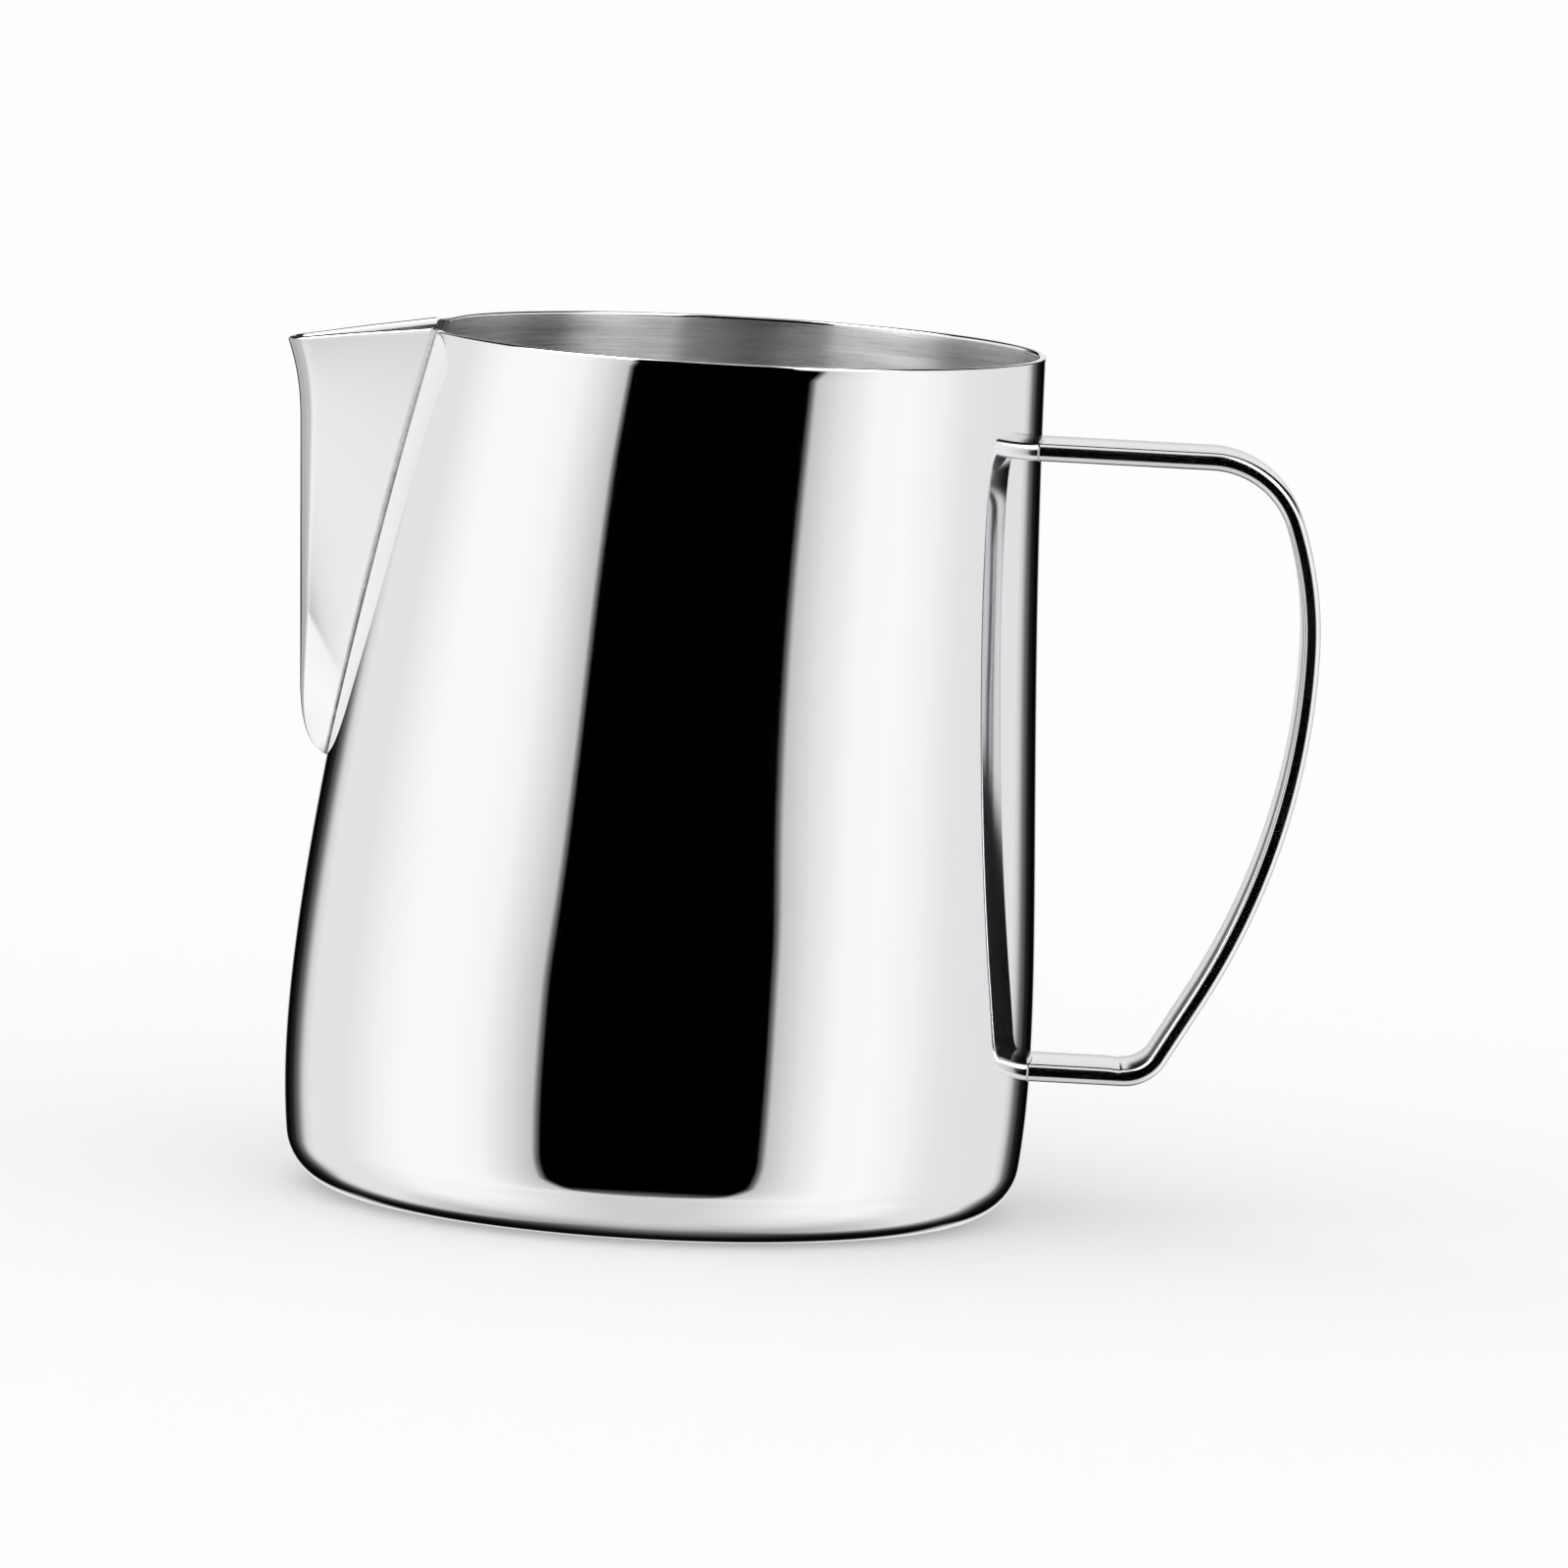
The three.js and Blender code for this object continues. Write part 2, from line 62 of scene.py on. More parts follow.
def bezierSlope(points, t):
    a, b, c, d = [np.array(p, float) for p in points]
    s = 1 - t
    return (b - a) * 3 * s * s + (c - b) * 6 * s * t + (d - c) * 3 * t * t


def smooth(x):
    x = min(1.0, max(0.0, x))
    return x * x * (3 - 2 * x)


cameraPlace = {
    "position": (1.19, -1789.34, 249.02),
    "aimsAt": (-0.53, 0, 52.76),
    "roll": 3.1,  # degrees, the object leans right
    "lens": 331.1,
    "sensor": 36,
    "clip": (0.05, 50),  # metres
}


def makeCamera(place):
    data = bpy.data.cameras.new("studioCamera")
    data.lens = place["lens"]
    data.sensor_width = place["sensor"]
    data.clip_start, data.clip_end = place["clip"]
    camera = bpy.data.objects.new("studioCamera", data)
    bpy.context.scene.collection.objects.link(camera)
    start = Vector(place["position"]) * mm
    look = Vector(place["aimsAt"]) * mm - start
    turned = look.to_track_quat("-Z", "Y").to_matrix().to_4x4()
    roll = Matrix.Rotation(math.radians(place["roll"]), 4, "Z")
    camera.matrix_world = Matrix.Translation(start) @ turned @ roll
    bpy.context.scene.camera = camera


makeCamera(cameraPlace)
print("camera placed")


def addNode(tree, kind, sockets=None, **settings):
    node = tree.nodes.new(kind)
    for key, value in settings.items():
        setattr(node, key, value)
    for key, value in (sockets or {}).items():
        if isinstance(value, bpy.types.NodeSocket):
            tree.links.new(value, node.inputs[key])
        else:
            node.inputs[key].default_value = value
    return node


def sums(tree, operation, *values, clamp=False):
    settings = {"operation": operation, "use_clamp": clamp}
    return addNode(tree, "ShaderNodeMath", dict(enumerate(values)), **settings).outputs[0]


def plus(tree, a, b):
    return sums(tree, "ADD", a, b)


def times(tree, a, b):
    return sums(tree, "MULTIPLY", a, b)


def parted(tree, vector):
    return addNode(tree, "ShaderNodeSeparateXYZ", {0: vector}).outputs


def joined(tree, x, y, z):
    return addNode(tree, "ShaderNodeCombineXYZ", {0: x, 1: y, 2: z}).outputs[0]


def spread(tree, value, fromSpan, toSpan, blend="LINEAR"):
    sockets = dict(enumerate((value, *fromSpan, *toSpan)))
    return addNode(tree, "ShaderNodeMapRange", sockets, interpolation_type=blend).outputs[0]


def newGeometryTree(name, inputs):
    tree = bpy.data.node_groups.new(name, "GeometryNodeTree")
    for label, kind, value in inputs:
        socket = tree.interface.new_socket(label, in_out="INPUT", socket_type=kind)
        if value is not None:
            socket.default_value = value
    kind = "NodeSocketGeometry"
    tree.interface.new_socket("Geometry", in_out="OUTPUT", socket_type=kind)
    return tree


def realized(tree, geometry):
    return addNode(tree, "GeometryNodeRealizeInstances", {0: geometry}).outputs[0]


# Gives the whole or the selection its material.
def finished(tree, geometry, finish, **selection):
    sockets = {"Geometry": geometry, "Material": finish, **selection}
    return addNode(tree, "GeometryNodeSetMaterial", sockets).outputs[0]


def endTree(tree, geometry):
    out = tree.nodes.new("NodeGroupOutput")
    tree.links.new(geometry, out.inputs[0])


def newObject(name, points, edges=(), faces=()):
    mesh = bpy.data.meshes.new(name)
    mesh.from_pydata([tuple(np.array(p) * mm) for p in points], edges, faces)
    obj = bpy.data.objects.new(name, mesh)
    bpy.context.scene.collection.objects.link(obj)
    return obj


def lineObject(name, points, closed=False):
    edges = [(i, i + 1) for i in range(len(points) - 1)]
    if closed:
        edges.append((len(points) - 1, 0))
    return newObject(name, points, edges)


# Runs a tree on an object and leaves a plain mesh behind.
def applyTree(obj, tree, values):
    modifier = obj.modifiers.new("shape", "NODES")
    modifier.node_group = tree
    for item in tree.interface.items_tree:
        if item.in_out == "INPUT" and item.name in values:
            modifier[item.identifier] = values[item.name]
    graph = bpy.context.evaluated_depsgraph_get()
    result = bpy.data.meshes.new_from_object(obj.evaluated_get(graph))
    obj.modifiers.remove(modifier)
    old = obj.data
    obj.data = result
    bpy.data.meshes.remove(old)
    result.name = obj.name
    return result


def signedVolume(bm):
    total = 0.0
    for face in bm.faces:
        corners = [v.co for v in face.verts]
        for i in range(1, len(corners) - 1):
            total += corners[0].dot(corners[i].cross(corners[i + 1]))
    return total


# Welds doubles, drops slivers, checks that the shell is closed, and turns it outward.
def finishShell(mesh, weld=1e-7):
    bm = bmesh.new()
    bm.from_mesh(mesh)
    bmesh.ops.remove_doubles(bm, verts=bm.verts, dist=weld)
    bmesh.ops.dissolve_degenerate(bm, edges=bm.edges, dist=weld)
    loose = [v for v in bm.verts if not v.link_faces]
    bmesh.ops.delete(bm, geom=loose, context="VERTS")
    if signedVolume(bm) < 0:
        bmesh.ops.reverse_faces(bm, faces=bm.faces)
    openEdges = sum(1 for e in bm.edges if len(e.link_faces) != 2)
    for face in bm.faces:
        face.smooth = True
    bm.to_mesh(mesh)
    bm.free()
    mesh.update()
    print(" ", mesh.name, len(mesh.polygons), "faces,", openEdges, "open edges")


def softenBy(mesh, degrees):
    mesh.set_sharp_from_angle(angle=math.radians(degrees))


def readVectors(items, key):
    values = np.zeros(len(items) * 3)
    items.foreach_get(key, values)
    return values.reshape(-1, 3)


steelColour = (0.87, 0.875, 0.885)
mostOfNoise = (0.3, 0.7)  # a noise's values lie nearly all in here
highNoise = (0.45, 0.8)


def newMaterial(name):
    material = bpy.data.materials.new(name)
    material.use_nodes = True
    tree = material.node_tree
    shader = tree.nodes["Principled BSDF"]
    shader.inputs["Metallic"].default_value = 1
    return material, tree, shader


def connect(tree, shader, colour, rough, normal):
    tree.links.new(colour, shader.inputs["Base Color"])
    tree.links.new(rough, shader.inputs["Roughness"])
    tree.links.new(normal, shader.inputs["Normal"])


def objectPlace(tree):
    return addNode(tree, "ShaderNodeTexCoord").outputs["Object"]


def pointValue(tree, name):
    return addNode(tree, "ShaderNodeAttribute", attribute_name=name).outputs["Fac"]


def stretched(tree, vector, scale):
    return addNode(tree, "ShaderNodeMapping", {"Vector": vector, "Scale": scale}).outputs[0]


def noise(tree, vector, scale, detail, roughness):
    sockets = {"Vector": vector, "Scale": scale, "Detail": detail, "Roughness": roughness}
    return addNode(tree, "ShaderNodeTexNoise", sockets, noise_dimensions="3D").outputs["Fac"]


def bumped(tree, height, strength, depth, **under):
    sockets = {"Strength": strength, "Distance": depth, "Height": height, **under}
    return addNode(tree, "ShaderNodeBump", sockets).outputs[0]


def mixed(tree, share, a, b, **settings):
    sockets = {0: share, 6: a, 7: b}
    return addNode(tree, "ShaderNodeMix", sockets, data_type="RGBA", **settings).outputs[2]


def shade(colour, factor):
    return (*[min(1, c * factor) for c in colour], 1)


mirrorPolish = {
    "tones": (0.985, 1.01),  # of the steel's colour
    "hazeStretch": (1, 1, 2.2),
    "hazeScale": 45,
    "hazeRoughness": (0.012, 0.03),
    "rubStretch": (1, 1, 9),
    "rubScale": 900,
    "rubRoughness": (0, 0.03),
    "rubDepth": 0.0000012,  # metres
    "waveScale": 22,
    "waveDepth": 0.00001,
    "foldTone": (0.47, 0.472, 0.478, 1),  # along the spout's nose, darker and rougher
    "foldRoughness": 0.12,
}


def mirrorSteel(name, hasFold=False):
    material, tree, shader = newMaterial(name)
    polish = mirrorPolish
    place = objectPlace(tree)
    hazeSpace = stretched(tree, place, polish["hazeStretch"])
    haze = noise(tree, hazeSpace, polish["hazeScale"], 4, 0.6)
    wave = noise(tree, hazeSpace, polish["waveScale"], 1, 0.4)
    rubSpace = stretched(tree, place, polish["rubStretch"])
    rub = noise(tree, rubSpace, polish["rubScale"], 2, 0.5)
    colour = mixed(tree, haze, *[shade(steelColour, tone) for tone in polish["tones"]])
    hazy = spread(tree, haze, mostOfNoise, polish["hazeRoughness"])
    rough = plus(tree, hazy, spread(tree, rub, highNoise, polish["rubRoughness"]))
    if hasFold:
        fold = pointValue(tree, "fold")
        colour = mixed(tree, fold, colour, polish["foldTone"])
        rough = plus(tree, rough, times(tree, fold, polish["foldRoughness"]))
    wavy = bumped(tree, wave, 1, polish["waveDepth"])
    rubbed = bumped(tree, rub, 0.25, polish["rubDepth"], Normal=wavy)
    connect(tree, shader, colour, rough, rubbed)
    return material


insideBrush = {
    "colour": (0.88, 0.88, 0.885),
    "tones": (0.8, 1.1),  # of the colour, in the dark streaks and the light ones
    "toneSpan": (0.36, 0.64),
    "slowRound": 0.02,  # the pattern changes slowly round the cup and fast up it
    "fineStretch": (1, 1, 26),
    "coarseStretch": (1, 1, 7),
    "roughness": (0.24, 0.31),
    "blotch": (0, 0.03),
    "depth": 0.00001,
}


# Brushed round the inside of the cup: long streaks, sharp across the height.
def brushedSteel(name, axis, lean, height):
    material, tree, shader = newMaterial(name)
    brush = insideBrush
    place = objectPlace(tree)
    x, y, z = parted(tree, place)
    rise = sums(tree, "DIVIDE", z, height)
    shift = times(tree, times(tree, rise, rise), lean)
    x = sums(tree, "SUBTRACT", sums(tree, "SUBTRACT", x, axis), shift)
    far = sums(tree, "SQRT", plus(tree, times(tree, x, x), times(tree, y, y)))
    # the streaks' own space: two coordinates go slowly round, the third runs fast up the wall
    turned = [times(tree, sums(tree, "DIVIDE", side, far), brush["slowRound"]) for side in (x, y)]
    space = joined(tree, *turned, plus(tree, z, far))
    fine = noise(tree, stretched(tree, space, brush["fineStretch"]), 150, 4, 0.65)
    coarse = noise(tree, stretched(tree, space, brush["coarseStretch"]), 110, 3, 0.6)
    blotch = noise(tree, place, 60, 3, 0.6)
    both = plus(tree, times(tree, fine, 0.5), times(tree, coarse, 0.5))
    tone = spread(tree, both, brush["toneSpan"], (0, 1))
    colour = mixed(tree, tone, *[shade(brush["colour"], share) for share in brush["tones"]])
    streaky = spread(tree, fine, mostOfNoise, brush["roughness"])
    rough = plus(tree, streaky, spread(tree, blotch, mostOfNoise, brush["blotch"]))
    connect(tree, shader, colour, rough, bumped(tree, both, 0.6, brush["depth"]))
    shader.inputs["Anisotropic"].default_value = 1
    shader.inputs["Anisotropic Rotation"].default_value = 0.25  # a quarter turn, across the streaks
    tangent = addNode(tree, "ShaderNodeTangent", direction_type="UV_MAP", uv_map="UVMap")
    tree.links.new(tangent.outputs[0], shader.inputs["Tangent"])
    return material


barPolish = {
    "lineStretch": (0.12, 3, 0.12),
    "lineScale": 900,
    "lineRoughness": (0, 0.04),
    "lineDepth": 0.000001,
    "hazeScale": 70,
    "hazeRoughness": (0.12, 0.16),
    "tones": (0.96, 1),
}


# Bar stock that was polished lengthwise, with the drawing lines still faintly there.
def barSteel(name):
    material, tree, shader = newMaterial(name)
    polish = barPolish
    place = objectPlace(tree)
    lines = noise(tree, stretched(tree, place, polish["lineStretch"]), polish["lineScale"], 3, 0.6)
    haze = noise(tree, place, polish["hazeScale"], 4, 0.6)
    colour = mixed(tree, haze, *[shade(steelColour, tone) for tone in polish["tones"]])
    hazy = spread(tree, haze, mostOfNoise, polish["hazeRoughness"])
    rough = plus(tree, hazy, spread(tree, lines, highNoise, polish["lineRoughness"]))
    connect(tree, shader, colour, rough, bumped(tree, lines, 0.08, polish["lineDepth"]))
    return material


groundWeld = {
    "creaseShadeGrey": (0.05, 0.5),  # of the painted crease shade beside the spout, at its foot and at the rim
    "creaseShadeHeights": (0.058, 0.108),  # metres
    "patches": (0.85, 1.15),
    "speckle": (0.8, 1.1),
    "roughness": (0.03, 0.3),  # of the polished sides and of the line
    "depth": 0.000002,
}


# Weld ground flush and polished with its neighbours; the grey line in the crease is painted shade,
# darkest at the spout's foot.
def flushWeld(name):
    material, tree, shader = newMaterial(name)
    weld = groundWeld
    place = objectPlace(tree)
    crease = pointValue(tree, "crease")
    speckle = noise(tree, place, 1100, 3, 0.6)
    patchy = noise(tree, place, 160, 2, 0.5)
    # painted crease shade: near black at the spout's foot, paler up to the rim, in random patches
    grey = spread(tree, parted(tree, place)[2], weld["creaseShadeHeights"], weld["creaseShadeGrey"])
    grey = times(tree, grey, spread(tree, patchy, mostOfNoise, weld["patches"]))
    speckled = spread(tree, speckle, mostOfNoise, weld["speckle"])
    # the painted crease shade shows where the crease attribute says, speckled
    depth = sums(tree, "MULTIPLY", crease, speckled, clamp=True)
    colour = mixed(tree, depth, shade(steelColour, 1), joined(tree, grey, grey, grey))
    rough = spread(tree, crease, (0, 1), weld["roughness"])
    connect(tree, shader, colour, rough, bumped(tree, speckle, 0.3, weld["depth"]))
    return material


beadMetal = {
    "dark": (0.425, 0.42, 0.406, 1),
    "light": (0.575, 0.575, 0.569, 1),
    "roughness": (0.08, 0.2),
    "pitDepth": 0.000004,
}


def weldSteel(name):
    material, tree, shader = newMaterial(name)
    place = objectPlace(tree)
    pits = noise(tree, place, 1400, 3, 0.6)
    cloud = noise(tree, place, 180, 3, 0.6)
    colour = mixed(tree, cloud, beadMetal["dark"], beadMetal["light"])
    rough = spread(tree, pits, mostOfNoise, beadMetal["roughness"])
    connect(tree, shader, colour, rough, bumped(tree, pits, 0.5, beadMetal["pitDepth"]))
    return material


cup = {
    "height": 108,
    "rimRadius": 38.5,
    "baseRadius": 46,
    "cornerHeight": 6.5,
    "sheet": 0.9,
    "lean": 5.2,
    "shoulderTaper": 6.4,  # degrees
    "shoulderShare": 0.64,
    "bellySwell": 1.04,
    "bellyShare": 0.16,
    "bellyBelow": 60,
    "dishDepth": 1.2,
    "dishInset": 16,
    "dishSteps": 6,
    "footRingWidth": 6,
    "stepsAround": 252,
    "wallSteps": 84,
    "cornerSteps": 14,
    "openingRows": 8,  # extra rows where the opening starts, because its foot is round
    "openingRowGap": 0.04,
    "openingRowGrowth": 1.6,
    "rimSteps": 8,
    "rimSquareness": 0.55,  # 1 is a half round edge, less is flatter on top
    "creaseDip": 0.2,  # the rim sinks where the spout's edges meet it
    "creaseSpread": 7,
    "creaseDepth": 16,
    "creaseReach": 25,
    "ownNormals": 0.6,  # the rim and the base corner keep their own normals this near
    "skinWithin": 0.06,  # a point this near the wall's surface lies on it
}

wallSpan = cup["height"] - cup["cornerHeight"]
shoulder = wallSpan * cup["shoulderShare"]
shoulderRadius = cup["rimRadius"] + math.tan(math.radians(cup["shoulderTaper"])) * shoulder
wallPoints = [
    (cup["baseRadius"], cup["cornerHeight"]),
    (cup["baseRadius"] * cup["bellySwell"], cup["cornerHeight"] + wallSpan * cup["bellyShare"]),
    (shoulderRadius, cup["height"] - shoulder),
    (cup["rimRadius"], cup["height"]),
]
# the round base corner runs into the wall without a kink
wallSet = unit(bezierSlope(wallPoints, 0))
cornerRadius = cup["cornerHeight"] / (1 - wallSet[0])
cornerCentre = cup["baseRadius"] - cornerRadius * wallSet[1]
cornerTurn = math.acos(wallSet[0])


def wallRadius(height):
    low, high = 0.0, 1.0
    for _ in range(40):
        middle = (low + high) / 2
        if bezier(wallPoints, middle)[1] < height:
            low = middle
        else:
            high = middle
    return bezier(wallPoints, low)[0]


def leanAt(height):
    return cup["lean"] * (max(0.0, height - cup["cornerHeight"]) / wallSpan) ** 2


bellyHeights = np.linspace(cup["cornerHeight"], cup["bellyBelow"], 80)
bellyReach = max(wallRadius(z) - leanAt(z) for z in bellyHeights)
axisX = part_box("cup")[0].x / mm + bellyReach  # the base's centre in the frame


def wallX(y, z, depth, side):
    radius = wallRadius(z) - depth
    return axisX + leanAt(z) + side * math.sqrt(radius * radius - y * y)


def wallPoint(y, z, depth):
    return np.array((wallX(y, z, depth, -1), y, z))


def wallNormal(y, z):
    step = 0.05
    up = wallPoint(y, z + step, 0) - wallPoint(y, z - step, 0)
    across = wallPoint(y + step, z, 0) - wallPoint(y - step, z, 0)
    return unit(np.cross(up, across))  # out of the front wall


spout = {
    "reach": 17.3,
    "length": 55.5,
    "halfWidth": 10,
    "lipDrop": 3,
    "lipFlare": 2,
    "lipLength": 10,
    "lipRun": 0.4,  # how the lip's curve leaves the nose and comes up to its tip
    "lipPull": (0.6, 0.3),
    "lipArc": 6,  # steps round the lip's edge
    "lipLean": 0.2,
    "lipRound": 0.35,
    "noseRadius": 3,
    "noseShares": (0.7, 0.45),  # at most, of the rib's half width and of its side
    "footReach": 3.6,
    "footRise": 10,
    "footPull": (0.45, 0.16),
    "footRun": 0.65,
    "footCrowding": 1.3,  # over 1, the rows lie closer at the foot
    "sheetShare": 0.45,  # the sheet is no thicker than this share of the rib's half width
    "seamFootWidth": 0.55,
    "seamWaistWidth": 0.75,
    "seamWaistRise": 0.45,
    "footRows": 30,
    "noseRows": 60,
    "lipRows": 26,
    "flankColumns": 18,
    "noseColumns": 14,
    "foldFade": 2,  # columns
}
seam = {
    "creaseInset": 0.9,  # the crease lies this far inside the seam's middle line
    "wallReach": 0.6,  # and the weld's flush side this far outside it
    "flankReach": 0.55,
    "tuck": 0.04,  # how far it runs on under the cup's edge
    "flankTuck": 0.03,
    "dip": 0.09,
    "dipOver": 0.7,
    "rows": 110,
    "crowding": 1.4,
    "wallShares": (0.0, 0.2, 0.4, 0.6, 0.75, 0.87),  # the section's points across the wall
    "bendShares": (0.35, 0.65, 1.0),  # and round into the flank
    # how strongly each point of the section shows the painted crease shade, from the wall to the
    # flank
    "creaseShadeShares": (0, 0.03, 0.12, 0.35, 0.7, 0.95, 1, 0.75, 0.2, 0, 0, 0),
}

spoutFoot = cup["height"] - spout["length"]
seamWaist = spoutFoot + spout["length"] * spout["seamWaistRise"]
seamLine = [
    (0, spoutFoot),
    (spout["halfWidth"] * spout["seamFootWidth"], spoutFoot),
    (spout["halfWidth"] * spout["seamWaistWidth"], seamWaist),
    (spout["halfWidth"], cup["height"]),
]


def seamPoint(share, offset):
    y, z = bezier(seamLine, share)
    alongY, alongZ = unit(bezierSlope(seamLine, share))
    return np.array((y + alongZ * offset, z - alongY * offset))


# Where the crease starts: its offset line meets the middle.
creaseStart = 0.0
while seamPoint(creaseStart, -seam["creaseInset"])[0] < 0:
    creaseStart += 0.0005


def creaseAt(share):
    y, z = seamPoint(lerp(creaseStart, 1.0, share), -seam["creaseInset"])
    return max(0.0, y), z


openingLine = np.array([seamPoint(t, seam["wallReach"]) for t in np.linspace(0, 1, 400)])
openingFoot = openingLine[0][1]


# Half width of the opening that the weld fills, at a height on the wall.
def openingHalfWidth(z):
    return float(np.interp(z, openingLine[:, 1], openingLine[:, 0])) if z > openingFoot else 0.0


creaseTop = wallPoint(spout["halfWidth"] - seam["creaseInset"], cup["height"], 0)


# The rim sags a little at the two creases; every piece near them follows.
def settle(p):
    p = np.array(p, float)
    gap = math.hypot(p[0] - creaseTop[0], abs(p[1]) - creaseTop[1])
    rise = smooth(1 - (cup["height"] - p[2]) / cup["creaseDepth"])
    p[2] -= cup["creaseDip"] * math.exp(-((gap / cup["creaseSpread"]) ** 2)) * rise
    return p


def cupProfile():
    sheet = cup["sheet"]
    ringInner = cornerCentre - cup["footRingWidth"]
    dishRadius = cup["baseRadius"] - cup["dishInset"]
    shares = [i / cup["dishSteps"] for i in range(cup["dishSteps"] + 1)]
    dish = [(lerp(dishRadius, ringInner, s), cup["dishDepth"] * (1 - smooth(s))) for s in shares]
    dish = [(0, cup["dishDepth"]), (dishRadius / 2, cup["dishDepth"])] + dish
    points = dish + [(ringInner + 2, 0), (cornerCentre - 1, 0)]
    turns = [cornerTurn * i / cup["cornerSteps"] for i in range(cup["cornerSteps"] + 1)]
    for turn in turns:
        reach = cornerRadius * math.sin(turn)
        points.append((cornerCentre + reach, cornerRadius * (1 - math.cos(turn))))
    rimEase = sheet / 2
    top = cup["height"] - rimEase
    heights = list(np.linspace(cup["cornerHeight"], top, cup["wallSteps"] + 1))[1:]
    gaps = [cup["openingRowGap"] * cup["openingRowGrowth"] ** k for k in range(cup["openingRows"])]
    heights = sorted(heights + [openingFoot + gap for gap in gaps] + [openingFoot])
    wallStart = len(points)
    points += [(wallRadius(z), z) for z in heights]
    wallEnd = len(points)
    rim = wallRadius(top) - rimEase
    for i in range(1, cup["rimSteps"]):
        angle = math.pi * i / cup["rimSteps"]
        across = math.copysign(abs(math.cos(angle)) ** cup["rimSquareness"], math.cos(angle))
        rise = math.sin(angle) ** cup["rimSquareness"]
        points.append((rim + rimEase * across, top + rimEase * rise))
    insideStart = len(points)
    points += [(wallRadius(z) - sheet, z) for z in reversed(heights)]
    insideEnd = len(points)
    inner = cornerRadius - sheet
    for turn in reversed(turns):
        points.append((cornerCentre + inner * math.sin(turn), cornerRadius - inner * math.cos(turn)))
    points.append((ringInner + 1, sheet))
    points += [(radius, z + sheet) for radius, z in reversed(dish)]
    return points, wallStart, wallEnd, insideStart, insideEnd


# Turns a profile line round a leaning axis. Rows keep the line's points, columns go round.
def turnedTree():
    tree = newGeometryTree("turned round a leaning axis", [
        ("Profile", "NodeSocketGeometry", None),
        ("Steps Around", "NodeSocketInt", 64),
        ("Axis X", "NodeSocketFloat", 0.0),
        ("Lean", "NodeSocketFloat", 0.0),
        ("Lean From", "NodeSocketFloat", 0.0),
        ("Lean Over", "NodeSocketFloat", 0.1),
        ("Inside From", "NodeSocketFloat", 0.5),
        ("Outside Finish", "NodeSocketMaterial", None),
        ("Inside Finish", "NodeSocketMaterial", None),
    ])
    given = tree.nodes.new("NodeGroupInput").outputs
    size = addNode(tree, "GeometryNodeAttributeDomainSize", {0: given["Profile"]})
    rows = size.outputs["Point Count"]
    columns = plus(tree, given["Steps Around"], 1)
    grid = addNode(tree, "GeometryNodeMeshGrid", {"Vertices X": columns, "Vertices Y": rows})
    index = tree.nodes.new("GeometryNodeInputIndex").outputs[0]
    row = sums(tree, "MODULO", index, rows)
    column = sums(tree, "FLOOR", sums(tree, "DIVIDE", plus(tree, index, 0.5), rows))
    turn = times(tree, sums(tree, "DIVIDE", column, given["Steps Around"]), math.tau)
    place = tree.nodes.new("GeometryNodeInputPosition").outputs[0]
    sockets = {"Geometry": given["Profile"], "Value": place, "Index": row}
    settings = {"data_type": "FLOAT_VECTOR", "domain": "POINT"}
    sampled = addNode(tree, "GeometryNodeSampleIndex", sockets, **settings)
    radius, _, height = parted(tree, sampled.outputs[0])
    rise = sums(tree, "MAXIMUM", sums(tree, "SUBTRACT", height, given["Lean From"]), 0.0)
    rise = sums(tree, "DIVIDE", rise, given["Lean Over"])
    shift = times(tree, times(tree, rise, rise), given["Lean"])
    centre = plus(tree, shift, given["Axis X"])
    x = sums(tree, "SUBTRACT", centre, times(tree, radius, sums(tree, "COSINE", turn)))
    y = times(tree, radius, sums(tree, "SINE", turn))
    sockets = {"Geometry": grid.outputs["Mesh"], "Position": joined(tree, x, y, height)}
    wall = addNode(tree, "GeometryNodeSetPosition", sockets)
    uv = grid.outputs["UV Map"]
    sockets = {"Geometry": wall.outputs[0], "Name": "UVMap", "Value": uv}
    settings = {"data_type": "FLOAT2", "domain": "CORNER"}
    stored = addNode(tree, "GeometryNodeStoreNamedAttribute", sockets, **settings)
    sockets = {0: parted(tree, uv)[1], 1: given["Inside From"]}
    settings = {"data_type": "FLOAT", "operation": "GREATER_THAN"}
    inside = addNode(tree, "FunctionNodeCompare", sockets, **settings).outputs[0]
    outer = finished(tree, realized(tree, stored.outputs[0]), given["Outside Finish"])
    endTree(tree, finished(tree, outer, given["Inside Finish"], Selection=inside))
    return tree


# Gives the wall its exact normals, because the narrow rows at the opening's foot would show.
def setWallNormals(mesh):
    heights = np.linspace(cup["cornerHeight"], cup["height"], 2000)
    radii = np.array([wallRadius(z) for z in heights])
    centres = np.array([leanAt(z) for z in heights]) + axisX
    x, y, z = readVectors(mesh.vertices, "co").T / mm
    normals = readVectors(mesh.vertex_normals, "vector")
    away = x - np.interp(z, heights, centres)
    far = np.hypot(away, y)
    depth = np.interp(z, heights, radii) - far
    slope = np.interp(z, heights, np.gradient(radii, heights))
    shift = np.interp(z, heights, np.gradient(centres, heights))
    exact = np.stack([away / far, y / far, -slope - shift * away / far], axis=1)
    exact /= np.linalg.norm(exact, axis=1, keepdims=True)
    clear = cup["ownNormals"]
    onWall = (z > cup["cornerHeight"] + clear) & (z < cup["height"] - clear)
    outer = onWall & (np.abs(depth) < cup["skinWithin"])
    inner = onWall & (np.abs(depth - cup["sheet"]) < cup["skinWithin"])
    normals[outer] = exact[outer]
    normals[inner] = -exact[inner]
    mesh.normals_split_custom_set_from_vertices(normals)


def addFace(bm, corners, flip):
    corners = [bm.verts[i] for i in corners]
    bm.faces.new(corners[::-1] if flip else corners)


